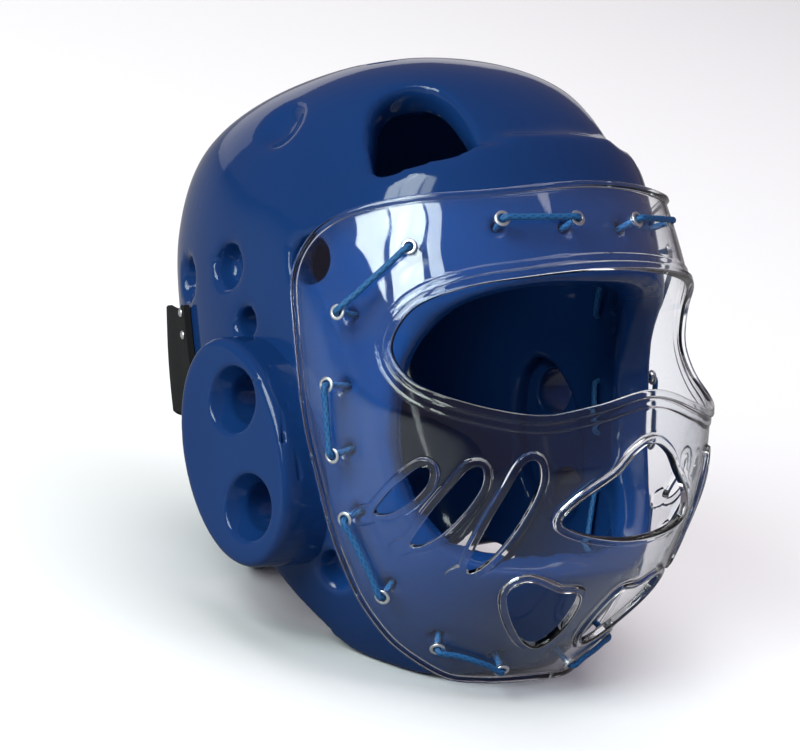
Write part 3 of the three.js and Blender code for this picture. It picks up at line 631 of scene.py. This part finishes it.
def hem_outline():
    """The side view of all that lies below the hem, whose edge is one smooth curve."""
    edge = np.array(HEM_EDGE, dtype=float)
    table = np.vstack([2 * edge[0] - edge[1], edge, 2 * edge[-1] - edge[-2]])
    curve = row_at(table, np.linspace(0, len(edge) - 1, 8 * len(edge)))
    low = -260
    return np.vstack([curve, (edge[-1][0], low), (edge[0][0], low)])


def hem_cutter():
    half_width = 160
    return skin("hem cutter", [[(x, y, z) for y, z in hem_outline()] for x in (-half_width, half_width)])


def slit_cutter():
    half, top = SLIT["half"], SLIT["top"]
    front, back, low = 20, 170, -160
    arch = [(half * math.cos(a), top - half + half * math.sin(a)) for a in np.linspace(0, math.pi, 17)]
    edge = [(half, low)] + arch + [(-half, low)]
    return skin("slit cutter", [[(x, y, z) for x, z in edge] for y in (front, back)])


def vent_cutter(sign):
    """Funnel with a wide rounded arch and a straight lower edge along the forehead band."""
    point, normal = foam_place(sign * VENT["angle"], VENT["z"])
    side = unit(np.cross((0, 0, 1), normal))
    up = np.cross(normal, side)
    edge = round_loop(np.array(VENT_EDGE) * (-sign, 1), 72)
    ahead = unit(np.roll(edge, -1, axis=0) - np.roll(edge, 1, axis=0))
    outward = np.stack([ahead[:, 1], -ahead[:, 0]], -1)
    if np.sum(outward * (edge - edge.mean(axis=0))) < 0:
        outward = -outward
    narrow, arch_from, arch_to = 0.2, -15, 2
    arch = narrow + (1 - narrow) * smoothstep(edge[:, 1], arch_from, arch_to)[:, None]
    rings = []
    for height, grow in VENT_FUNNEL:
        loop = edge + outward * grow * arch
        rings.append(point + loop[:, :1] * side + loop[:, 1:] * up + normal * height)
    return skin("vent cutter", rings)


def table_cutter():
    size = 0.8
    clear_selection()
    bpy.ops.mesh.primitive_cube_add(size=size)
    block = bpy.context.object
    block.matrix_world = TO_REST.inverted() @ Matrix.Translation((0, 0, -size / 2))
    bpy.context.view_layer.update()
    return block


def dish_cutter(sign):
    point, normal = foam_place(sign * DISH["angle"], DISH["z"])
    ball = (DISH["radius"] ** 2 + DISH["depth"] ** 2) / (2 * DISH["depth"])
    middle = Vector(point + normal * (ball - DISH["depth"]))
    clear_selection()
    bpy.ops.mesh.primitive_uv_sphere_add(segments=48, ring_count=24, radius=ball * MM, location=middle * MM)
    return bpy.context.object


def ear_oval(middle, half, rise):
    """An oval that leans as the ear pads do, seen from the side."""
    turns = np.linspace(0, math.tau, 96, endpoint=False)
    across, high = half * np.cos(turns), rise * np.sin(turns)
    y = middle["y"] + across * math.cos(PAD["lean"]) - high * math.sin(PAD["lean"])
    z = middle["z"] + across * math.sin(PAD["lean"]) + high * math.cos(PAD["lean"])
    return y, z


def ear_cutter(sign):
    inner, outer = 60, 150
    y, z = ear_oval(EAR_OPENING, EAR_OPENING["half"], EAR_OPENING["rise"])
    rings = [np.stack([np.full(len(y), sign * x), y, z], -1) for x in (inner, outer)]
    return skin("ear cutter", rings)


def lace_ends():
    """The name of each lace, and the angle and height of its two eyelets."""
    for side, sign in SIDES.items():
        for name, places in LACES.items():
            yield f"{name}_{side}", [(-sign * angle, z) for angle, z in places]


def distance_to(body, point, direction):
    bpy.context.view_layer.update()
    start = Vector(point) * MM
    _, where, _, _ = body.ray_cast(start, Vector(direction))
    return (where - start).length / MM


def even_cut_edges(shell):
    """Smooths the edge of the face opening and the hem further, away from the flats that it rests on."""
    reach, low, rounds = 9, 6, 24
    points = read_points(shell)
    rest_height = points @ np.array(TO_REST.to_3x3())[2] + TO_REST.translation.z
    points = points / MM
    near = distance_from(hem_outline(), points[:, [1, 2]]) < reach
    point, out = face_edge()
    for loop in (point, point - out * WALL):
        near |= distance_from(loop, points) < reach
    near &= rest_height > low * MM
    group = shell.vertex_groups.new(name="cut edges")
    group.add(np.flatnonzero(near).tolist(), 1, "REPLACE")
    settle = shell.modifiers.new("even", "SMOOTH")
    settle.iterations = rounds
    settle.vertex_group = group.name
    apply_modifiers(shell)
    shell.vertex_groups.clear()


def make_foam():
    """The shell, and how deep each lace has to go to reach its inside."""
    outer = foam_body("foam_shell_dipped", True)
    hollow = foam_body("head hollow", False)
    depths = {}
    holes = []
    for name, places in lace_ends():
        for angle, z in places:
            point, out = visor_place(angle, z)
            skin_depth = distance_to(outer, point, -out)
            depths[name, angle] = distance_to(hollow, point, -out)
            holes.append(drill(point - out * skin_depth, out, *LACE_HOLE.values()))
    cut(outer, hollow)
    for cutter in (hem_cutter(), slit_cutter(), table_cutter()):
        cut(outer, cutter)
    for sign in SIDES.values():
        holes.append(vent_cutter(sign))
        holes.append(dish_cutter(sign))
        for angle, z, mouth, floor, depth in DENTS:
            point, normal = foam_place(sign * angle, z)
            holes.append(drill(point, normal, mouth, floor, depth))
        holes.append(ear_cutter(sign))
    cut(outer, joined(holes))
    cut(outer, face_cutter())
    dip(outer, **FOAM_COAT)
    even_cut_edges(outer)
    set_down(outer)
    finish_piece(outer, VINYL, "foam", "foam_shell")
    return depths


# Ear pads

def press_folds(pad, sign):
    """Sinks the folds into the skin, deepest along the middle of each."""
    points = read_points(pad)
    normals = np.array([tuple(normal.vector) for normal in pad.data.vertex_normals])
    sunk = np.zeros(len(points))
    for route, half_width, depth in FOLDS:
        route = np.array(route) * (-sign, 1, 1)
        for start, end in zip(route[:-1], route[1:]):
            span = end - start
            share = np.clip((points / MM - start) @ span / (span @ span), 0, 1)
            away = np.linalg.norm(points / MM - start - share[:, None] * span, axis=1)
            sunk = np.maximum(sunk, depth * (1 - smoothstep(away, 0, half_width)))
    write_points(pad, points - normals * sunk[:, None] * MM)


def make_pad(side, sign):
    y, z = ear_oval(PAD, *PAD_ROWS[0][1:])
    sunk = row_at(FOAM, station_at(FOAM, z))[:, 1] - PAD_SUNK
    rings = [np.stack([sign * sunk, y, z], -1)]
    for x, half, rise in PAD_ROWS:
        y, z = ear_oval(PAD, half, rise)
        rings.append(np.stack([np.full(len(y), sign * x), y, z], -1))
    pad = skin(f"ear_pad_{side}_dipped", rings)
    mouth, throat, funnel = EAR_HOLE["mouth"], EAR_HOLE["throat"], EAR_HOLE["funnel"]
    for shape in ((mouth, throat, funnel), (throat, throat, THROUGH)):
        holes = [drill((sign * PAD_FACE, y, z), (sign, 0, 0), *shape) for y, z in EAR_HOLES]
        cut(pad, joined(holes))
    dip(pad, **PAD_COAT)
    press_folds(pad, sign)
    set_down(pad)
    finish_piece(pad, VINYL, "foam", f"ear_pad_{side}")


# Visor: laid out flat as angle times a fixed length and length down the centre line, then wrapped

MM_PER_DEGREE = 1.9
DROP_STATIONS = np.linspace(0, VISOR_LAST, 801)
CENTRE_LINE = visor_point(np.zeros(len(DROP_STATIONS)), DROP_STATIONS)
DROPS = np.concatenate([[0], np.cumsum(np.linalg.norm(np.diff(CENTRE_LINE, axis=0), axis=1))])


def flat_place(places):
    """Angles and heights on the visor, laid out flat."""
    places = np.asarray(places, dtype=float)
    drop = np.interp(station_at(VISOR, places[:, 1]), DROP_STATIONS, DROPS)
    return np.stack([places[:, 0] * MM_PER_DEGREE, -drop], -1)


def wrap(flat):
    """Flat points on the visor's outer face, each with the direction straight out of it."""
    angle = flat[:, 0] / MM_PER_DEGREE
    station = np.interp(-flat[:, 1], DROPS, DROP_STATIONS)
    return visor_point(angle, station), normal_of(visor_point, angle, station, VISOR_LAST)


def flat_scale(flat):
    """True millimetres for each flat one, across and down."""
    reach = 2
    spans = []
    for step in ((reach, 0), (0, reach)):
        spans.append(np.linalg.norm(wrap(flat + step)[0] - wrap(flat - np.array(step))[0], axis=1))
    return np.stack(spans, -1) / (2 * reach)


def grown(loop, distance):
    """The flat loop moved outwards by a true distance, or inwards if it is negative."""
    scale = flat_scale(loop)
    ahead = unit((np.roll(loop, -1, axis=0) - np.roll(loop, 1, axis=0)) * scale)
    outward = np.stack([ahead[:, 1], -ahead[:, 0]], -1)
    area = np.sum(loop[:, 0] * np.roll(loop[:, 1], -1) - np.roll(loop[:, 0], -1) * loop[:, 1])
    return loop + math.copysign(1, area) * outward * distance / scale


def slot_outline(slot):
    """A slot with a nearly straight upper side and a bowed lower side."""
    foot, head = flat_place([slot["foot"], slot["head"]])
    along = head - foot
    across = unit(np.array((along[1], -along[0])))
    bow = slot["bow"]
    shares = [
        (0, 0), (0.33, -SLOT_UPPER_BOW), (0.7, -SLOT_UPPER_BOW), (0.95, -1), (1, 0.25 * bow),
        (0.88, 0.75 * bow), (0.5, bow), (0.2, 0.8 * bow), (0.03, 0.35 * bow),
    ]
    return round_loop([foot + along * share + across * step for share, step in shares], 84)


def scoop_outline(slot):
    """The narrow oval on which the lip runs on past the foot of a slot."""
    foot = flat_place([slot["foot"]])[0]
    reach = np.array(SCOOP["reach"])
    across = unit(np.array((-reach[1], reach[0]))) * SCOOP["half_width"]
    turns = np.linspace(0, math.tau, 32, endpoint=False)[:, None]
    return foot + reach / 2 * (1 + np.cos(turns)) + across * np.sin(turns)


def inside(loop, points):
    """Which points lie inside a closed loop."""
    x, y = points[:, 0][:, None], points[:, 1][:, None]
    ax, ay = loop[:, 0], loop[:, 1]
    bx, by = np.roll(ax, -1), np.roll(ay, -1)
    crosses = (ay > y) != (by > y)
    with np.errstate(divide="ignore", invalid="ignore"):
        meet = (bx - ax) * (y - ay) / (by - ay) + ax
    return (np.sum(crosses & (x < meet), axis=1) % 2) == 1


def distance_from(loop, points):
    """Distance from each point to a closed loop, in the plane or in space."""
    best = np.full(len(points), np.inf)
    a, b = loop, np.roll(loop, -1, axis=0)
    for k in range(len(loop)):
        span = b[k] - a[k]
        share = np.clip((points - a[k]) @ span / (span @ span), 0, 1)
        best = np.minimum(best, np.linalg.norm(points - a[k] - share[:, None] * span, axis=1))
    return best


def rounded_edge(distance, radius):
    """How far a rounded corner lies below the face, at a distance from the edge."""
    inset = np.clip(radius - distance, 0, radius)
    return radius - np.sqrt(np.maximum(radius ** 2 - inset ** 2, 0))


def raised_edge(distance, height, flat_to, ends):
    return height * (1 - smoothstep(distance, flat_to, ends))


def lip_height(distance):
    return raised_edge(distance, **LIP)


def eye_lip_height(distance):
    return raised_edge(distance, **EYE_STEP) + raised_edge(distance, **EYE_LIP)


# Distances from each edge at which the sheet has a ring of points, close together where it bends
LIP_STEPS = (0, 0.08, 0.25, 0.5, 0.8, 1.4, 2.2, 2.8, 3.0, 3.2, 3.4, 3.6, 3.8, 4.0, 4.8)
EYE_STEPS = LIP_STEPS[:-1] + (5.4, 6.2, 7.0, 7.2, 7.4, 7.6, 7.8, 8.0, 9.0)
RIM_STEPS = (0, 0.08, 0.25, 0.5, 0.8, 1.4, 2.0, 2.2, 2.4, 2.6, 2.8, 3.0, 3.2, 4.0)
SCOOP_STEPS = (0,) + LIP_STEPS[LIP_STEPS.index(1.4):]


def both_sides(loops):
    """The loops of the right side, then their mirrored copies."""
    return loops + [loop * (-1, 1) for loop in loops]


def eyelet_bores():
    """The round hole in the flat sheet for each eyelet."""
    turns = np.linspace(0, math.tau, 20, endpoint=False)
    bore = (EYELET["barrel"] + EYELET["seat"]) * np.stack([np.cos(turns), np.sin(turns)], -1)
    for _, places in lace_ends():
        for seat in flat_place(places):
            yield seat + bore / flat_scale(seat[None])


def visor_mesh_points(edge, raised, bores):
    """Rings along every rim and lip, joined into loops, and an even spread between them."""
    rings = [grown(edge, -step) for step in RIM_STEPS]
    for loop, _, steps in raised:
        rings += [grown(loop, step) for step in steps]
    rings += bores
    links, start = [], 0
    for ring in rings:
        links += [(start + k, start + (k + 1) % len(ring)) for k in range(len(ring))]
        start += len(ring)
    pitch, clear = 3.4, 1.5
    low, high = edge.min(axis=0), edge.max(axis=0)
    spread = np.meshgrid(np.arange(low[0], high[0], pitch), np.arange(low[1], high[1], pitch))
    spread = np.stack(spread, -1).reshape(-1, 2)
    keep = inside(grown(edge, -RIM_STEPS[-1] - clear), spread)
    for loop, _, steps in raised:
        keep &= ~inside(grown(loop, steps[-1] + clear), spread)
    for loop in bores:
        keep &= ~inside(grown(loop, clear), spread)
    return np.vstack(rings + [spread[keep]]), links


def visor_faces(points, links, edge, cuts):
    """Triangles of the flat sheet, with the openings left out, all facing the same way."""
    flat, _, faces, _, _, _ = delaunay_2d_cdt([Vector(p) for p in points], links, [], 0, 1e-4)
    flat = np.array([tuple(p) for p in flat])
    faces = np.array(faces)
    middle = flat[faces].mean(axis=1)
    keep = inside(edge, middle)
    for loop in cuts:
        keep &= ~inside(loop, middle)
    used, faces = np.unique(faces[keep], return_inverse=True)
    flat, faces = flat[used], faces.reshape(-1, 3)
    spans = flat[faces]
    turned = np.cross(spans[:, 1] - spans[:, 0], spans[:, 2] - spans[:, 0]) < 0
    faces[turned] = faces[turned][:, ::-1]
    return flat, faces


def visor_relief(flat, surface, edge, raised, open_count):
    """How far the front and the back of the sheet stand out, with the first raised loops cut open."""
    nearest = distance_from(wrap(edge)[0], surface)
    front = raised_edge(nearest, **RIM)
    for k, (loop, height, _) in enumerate(raised):
        gap = distance_from(wrap(loop)[0], surface)
        if k < open_count:
            nearest = np.minimum(nearest, gap)
        else:
            gap[inside(loop, flat)] = 0
        front = np.maximum(front, height(gap))
    return front - rounded_edge(nearest, EDGE_ROUND), rounded_edge(nearest, BACK_ROUND) - SHEET


def sheet_polygons(faces, count):
    """The front, the back and the walls that join them all round each edge."""
    sides = np.concatenate([faces[:, [0, 1]], faces[:, [1, 2]], faces[:, [2, 0]]])
    known = {tuple(side) for side in sides}
    walls = [(b, a, a + count, b + count) for a, b in known if (b, a) not in known]
    return [tuple(f) for f in faces] + [tuple(f) for f in faces[:, ::-1] + count] + sorted(walls)


def make_visor():
    edge = round_loop(flat_place(whole_outline(VISOR_EDGE)), 300)
    eye = round_loop(flat_place(whole_outline(EYE_EDGE)), 240)
    mouth = round_loop(flat_place(whole_outline(MOUTH_EDGE)), 110)
    chin_vent = round_loop(flat_place(CHIN_VENT), 84)
    openings = [mouth] + both_sides([slot_outline(slot) for slot in SLOTS] + [chin_vent])
    scoops = both_sides([scoop_outline(slot) for slot in SLOTS])
    bores = list(eyelet_bores())
    raised = [(eye, eye_lip_height, EYE_STEPS)]
    raised += [(loop, lip_height, LIP_STEPS) for loop in openings]
    open_count = len(raised)
    raised += [(loop, lip_height, SCOOP_STEPS) for loop in scoops]
    points, links = visor_mesh_points(edge, raised, bores)
    flat, faces = visor_faces(points, links, edge, [eye] + openings + bores)
    surface, out = wrap(flat)
    front, back = visor_relief(flat, surface, edge, raised, open_count)
    shell = np.vstack([surface + out * front[:, None], surface + out * back[:, None]])
    mesh = bpy.data.meshes.new("visor_clear")
    mesh.from_pydata((shell * MM).tolist(), [], sheet_polygons(faces, len(flat)))
    mesh.validate()
    visor = bpy.data.objects.new("visor_clear", mesh)
    bpy.context.scene.collection.objects.link(visor)
    set_down(visor, smooth_angle=40)
    finish_piece(visor, CLEAR, "clear_sheet", "visor")
    return visor


# Eyelets and laces

def turned_ring(name, profile, point, out):
    """A closed profile of radius and height, turned about the direction straight out of the visor."""
    steps = 28
    side = unit(np.cross(out, (0, 0, 1)))
    up = np.cross(out, side)
    rings = []
    for turn in np.linspace(0, math.tau, steps, endpoint=False):
        spoke = math.cos(turn) * side + math.sin(turn) * up
        rings.append([point + spoke * radius + out * height for radius, height in profile])
    return skin(name, rings, loop=True)


def make_eyelets():
    top = EYELET["seat"] + EYELET["plate"]
    foot = -SHEET - EYELET["seat"]
    bore, barrel, flange = EYELET["bore"], EYELET["barrel"], EYELET["flange"]
    roll, roll_rise, mouth, crown, chamfer = 0.5, 0.45, 0.6, 0.1, (0.15, 0.3)
    profile = [(barrel, foot), (barrel, EYELET["seat"]), (flange - roll, EYELET["seat"])]
    for turn in np.linspace(-1.2, 1.2, 6):
        height = top - roll_rise + roll_rise * math.sin(turn)
        profile.append((flange - roll + roll * math.cos(turn), height))
    for turn in np.linspace(0.2, 1.5, 5):
        height = top - mouth + mouth * math.cos(turn) + crown
        profile.append((bore + mouth - mouth * math.sin(turn), height))
    profile += [(bore, foot + chamfer[1]), (bore + chamfer[0], foot)]
    for name, places in lace_ends():
        for end, (angle, z) in zip("ab", places):
            point, out = visor_place(angle, z)
            ring = turned_ring(f"eyelet_{name}_{end}_ring", profile, point, out)
            set_down(ring, smooth_angle=50)
            finish_piece(ring, NICKEL, "nickel", f"eyelet_{name}_{end}")


def lace_bend(middle, before, after):
    """Three points that round off a corner of a lace."""
    steps = [before - middle, after - middle]
    start, end = [middle + LACE["corner"] * unit(step) for step in steps]
    return [start, 0.25 * start + 0.5 * middle + 0.25 * end, end]


def lace_route(name, places, depths):
    """The way over the visor, in to the hollow and out again, and the direction across its loop."""
    lift = EYELET["seat"] + EYELET["plate"] + LACE_RADIUS + LACE["clear"]
    ends = []
    for angle, z in places:
        point, out = visor_place(angle, z)
        ends.append((point + out * lift, point - out * (depths[name, angle] + LACE["inside"])))
    run = []
    for share in (0.25, 0.5, 0.75):
        angle, z = [a + (b - a) * share for a, b in zip(*places)]
        point, out = visor_place(angle, z)
        run.append(point + out * (LACE_RADIUS + LACE["off_sheet"]))
    (top_a, foot_a), (top_b, foot_b) = ends
    leg_shares = (0.35, 0.65)
    route = lace_bend(top_a, foot_a, run[0]) + run + lace_bend(top_b, run[-1], foot_b)
    route += [top_b + (foot_b - top_b) * share for share in leg_shares]
    route += lace_bend(foot_b, top_b, foot_a) + lace_bend(foot_a, foot_b, top_a)
    route += [foot_a + (top_a - foot_a) * share for share in leg_shares]
    return route, unit(np.cross(foot_b - top_a, top_b - foot_a))


def make_lace(name, places, depths):
    route, across = lace_route(name, places, depths)
    length = loop_length(np.array(route))
    route = round_loop(route, int(length / LACE["pitch"]))
    ahead = unit(np.roll(route, -1, axis=0) - np.roll(route, 1, axis=0))
    side = unit(across - (ahead @ across)[:, None] * ahead)
    up = np.cross(ahead, side)
    turns = np.linspace(0, math.tau, 12, endpoint=False)
    flat, thick = LACE_RADIUS * LACE["flat"], LACE_RADIUS * LACE["thick"]
    rings = route[:, None] + flat * np.cos(turns)[None, :, None] * side[:, None]
    rings = rings + thick * np.sin(turns)[None, :, None] * up[:, None]
    lace = skin(f"lace_{name}_cord", rings, loop=True)
    stretch_map(lace, 1, length / (math.tau * LACE_RADIUS))
    set_down(lace)
    finish_piece(lace, LACE_CLOTH, "lace", f"lace_{name}")


def stretch_map(piece, across, along):
    """Stretches the piece's map across it and along it."""
    layer = piece.data.uv_layers.active.data
    flat = np.empty(len(layer) * 2)
    layer.foreach_get("uv", flat)
    flat = (flat.reshape(-1, 2) * (across, along)).ravel()
    layer.foreach_set("uv", flat)


# Rear strap and its rivets

def strap_place(angle, share):
    """A point on the strap's inner face, and the direction straight out of it."""
    free = smoothstep(np.abs(angle), STRAP["flat_to"], STRAP["stand_to"])
    z = STRAP["low"] + (STRAP["high"] - STRAP["low"]) * share + STRAP["rise"] * free
    point, out = foam_place(angle, z)
    stand = STRAP["seat"] + free * (STAND["low"] + (STAND["high"] - STAND["low"]) * share)
    return point + out * np.asarray(stand)[..., None], out


def make_strap():
    half = 180 - STRAP["end"]
    turns = np.linspace(-half, half, 120)
    angles = np.where(turns < 0, 180 + turns, turns - 180)
    thick, corner, drop = STRAP["thick"], STRAP_CORNER["share"], STRAP_CORNER["drop"]
    across = np.linspace(corner, 1 - corner, 26)
    section = [(share, 0) for share in across] + [(1, drop), (1, thick - drop)]
    section += [(share, thick) for share in across[::-1]] + [(0, thick - drop), (0, drop)]
    rings = []
    for share, height in section:
        point, out = strap_place(angles, share)
        rings.append(point + out * height)
    strap = skin("rear_strap_webbing", np.stack(rings, 1))
    stretch_map(strap, *STRAP_YARNS)
    set_down(strap, smooth_angle=40)
    finish_piece(strap, WEBBING, "web", "rear_strap")


def make_rivets():
    for side, sign in SIDES.items():
        for k, share in enumerate(RIVETS["shares"]):
            point, out = strap_place(np.array(sign * RIVETS["angle"]), share)
            middle = Vector(point + out * (STRAP["thick"] + EYELET["seat"])) * MM
            clear_selection()
            bpy.ops.mesh.primitive_uv_sphere_add(
                segments=24, ring_count=16, radius=RIVETS["radius"] * MM, location=middle,
                rotation=Vector(out).to_track_quat("Z", "Y").to_euler())
            dome = bpy.context.object
            dome.name = f"strap_rivet_{side}_{k + 1}_dome"
            bpy.ops.object.mode_set(mode="EDIT")
            bpy.ops.mesh.select_all(action="SELECT")
            bpy.ops.mesh.bisect(plane_co=middle, plane_no=Vector(out), use_fill=True, clear_inner=True)
            bpy.ops.object.mode_set(mode="OBJECT")
            points = read_points(dome)
            points[:, 2] *= RIVETS["height"] / RIVETS["radius"]
            write_points(dome, points)
            set_down(dome, smooth_angle=50)
            finish_piece(dome, NICKEL, "nickel", f"strap_rivet_{side}_{k + 1}")


# Camera, floor and light

def make_camera():
    """A view of the upright guard, then set down with it."""
    azimuth, elevation, roll = math.radians(-44), math.radians(-6), math.radians(7)
    distance, aim = 1700, Vector((0, 0, 30))
    shift_right, shift_up = -11.7, 4.28
    ahead = Vector((math.sin(azimuth), -math.cos(azimuth), 0))
    back = ahead * math.cos(elevation) + Vector((0, 0, math.sin(elevation)))
    level = Vector((math.cos(azimuth), math.sin(azimuth), 0))
    upright = back.cross(level)
    right = math.cos(roll) * level - math.sin(roll) * upright
    up = math.sin(roll) * level + math.cos(roll) * upright
    place = aim + back * distance + right * shift_right + up * shift_up
    turn = Matrix((right, up, back)).transposed().to_4x4()
    data = bpy.data.cameras.new("camera")
    data.lens = 170
    data.sensor_width = 36
    data.clip_end = 50
    camera = bpy.data.objects.new("camera", data)
    bpy.context.scene.collection.objects.link(camera)
    camera.matrix_world = TO_REST @ Matrix.Translation(place * MM) @ turn
    bpy.context.scene.camera = camera


def add_softbox(name, place, size, power, colour, diffuse=True, glossy=True):
    """A soft panel that faces the guard, and that can be kept out of its shading or its reflections."""
    middle = Vector((0, 0, 0.12))
    data = bpy.data.lights.new(name, "AREA")
    data.shape = "RECTANGLE"
    data.size, data.size_y = size
    data.energy = power
    data.color = colour
    panel = bpy.data.objects.new(name, data)
    bpy.context.scene.collection.objects.link(panel)
    panel.location = place
    panel.rotation_euler = (middle - panel.location).to_track_quat("-Z", "Y").to_euler()
    panel.visible_camera = False
    panel.visible_diffuse = diffuse
    panel.visible_glossy = glossy
    panel.visible_transmission = glossy
    return panel


def floor_material():
    """Pale to the eye, and grey where it is mirrored or lights the guard from below."""
    material, tree, shader = new_material("pale floor")
    path = tree.nodes.new("ShaderNodeLightPath")
    bounces = math_node(tree, "ADD", path.outputs["Glossy Depth"], path.outputs["Diffuse Depth"])
    pale, grey = (0.86, 0.86, 0.86), (0.24, 0.24, 0.24)
    colour = two_tone(tree, math_node(tree, "MINIMUM", bounces, 1), (0, pale), (1, grey))
    tree.links.new(colour, shader.inputs["Base Color"])
    shader.inputs["Roughness"].default_value = 0.6
    return material


def make_floor():
    clear_selection()
    bpy.ops.mesh.primitive_plane_add(size=30)
    floor = bpy.context.object
    floor.name = "pale floor"
    floor.data.materials.append(floor_material())
    return floor


def make_light(floor, visor):
    """A window in three panes, a soft fill, a dim back wall, and a light for the floor and visor alone."""
    world = bpy.data.worlds.new("studio")
    bpy.context.scene.world = world
    world.use_nodes = True
    sky = world.node_tree.nodes["Background"]
    sky.inputs["Color"].default_value = (1, 0.85, 1, 1)
    sky.inputs["Strength"].default_value = 0.16
    reach, height, pane_height = 2.15, 1.5, 1.6
    panes = [(69.5, 0.22, 8), (81.5, 0.50, 29), (95, 0.46, 26)]
    for k, (turn, width, power) in enumerate(panes):
        angle = math.radians(turn)
        place = (-reach * math.sin(angle), -reach * math.cos(angle), height)
        add_softbox(f"window pane {k + 1}", place, (width, pane_height), power, (0.88, 1, 0.98))
    add_softbox("fill softbox", (1.9, -1.6, 1.5), (1.0, 1.0), 14, (1, 0.78, 0.97), glossy=False)
    add_softbox("back wall", (1.4, 3.0, 0.42), (4.6, 0.8), 7, (1, 1, 1), diffuse=False)
    overhead = add_softbox("floor softbox", (0.3, 0.6, 2.6), (3.2, 3.2), 74, (1, 1, 1))
    lit = bpy.data.collections.new("lit by the floor softbox")
    for piece in (floor, visor):
        lit.objects.link(piece)
    overhead.light_linking.receiver_collection = lit
    bpy.context.scene.view_settings.view_transform = "Standard"


lace_depths = make_foam()
for pad_side, pad_sign in SIDES.items():
    make_pad(pad_side, pad_sign)
visor_piece = make_visor()
make_eyelets()
for lace_name, lace_places in lace_ends():
    make_lace(lace_name, lace_places, lace_depths)
make_strap()
make_rivets()
make_camera()
make_light(make_floor(), visor_piece)
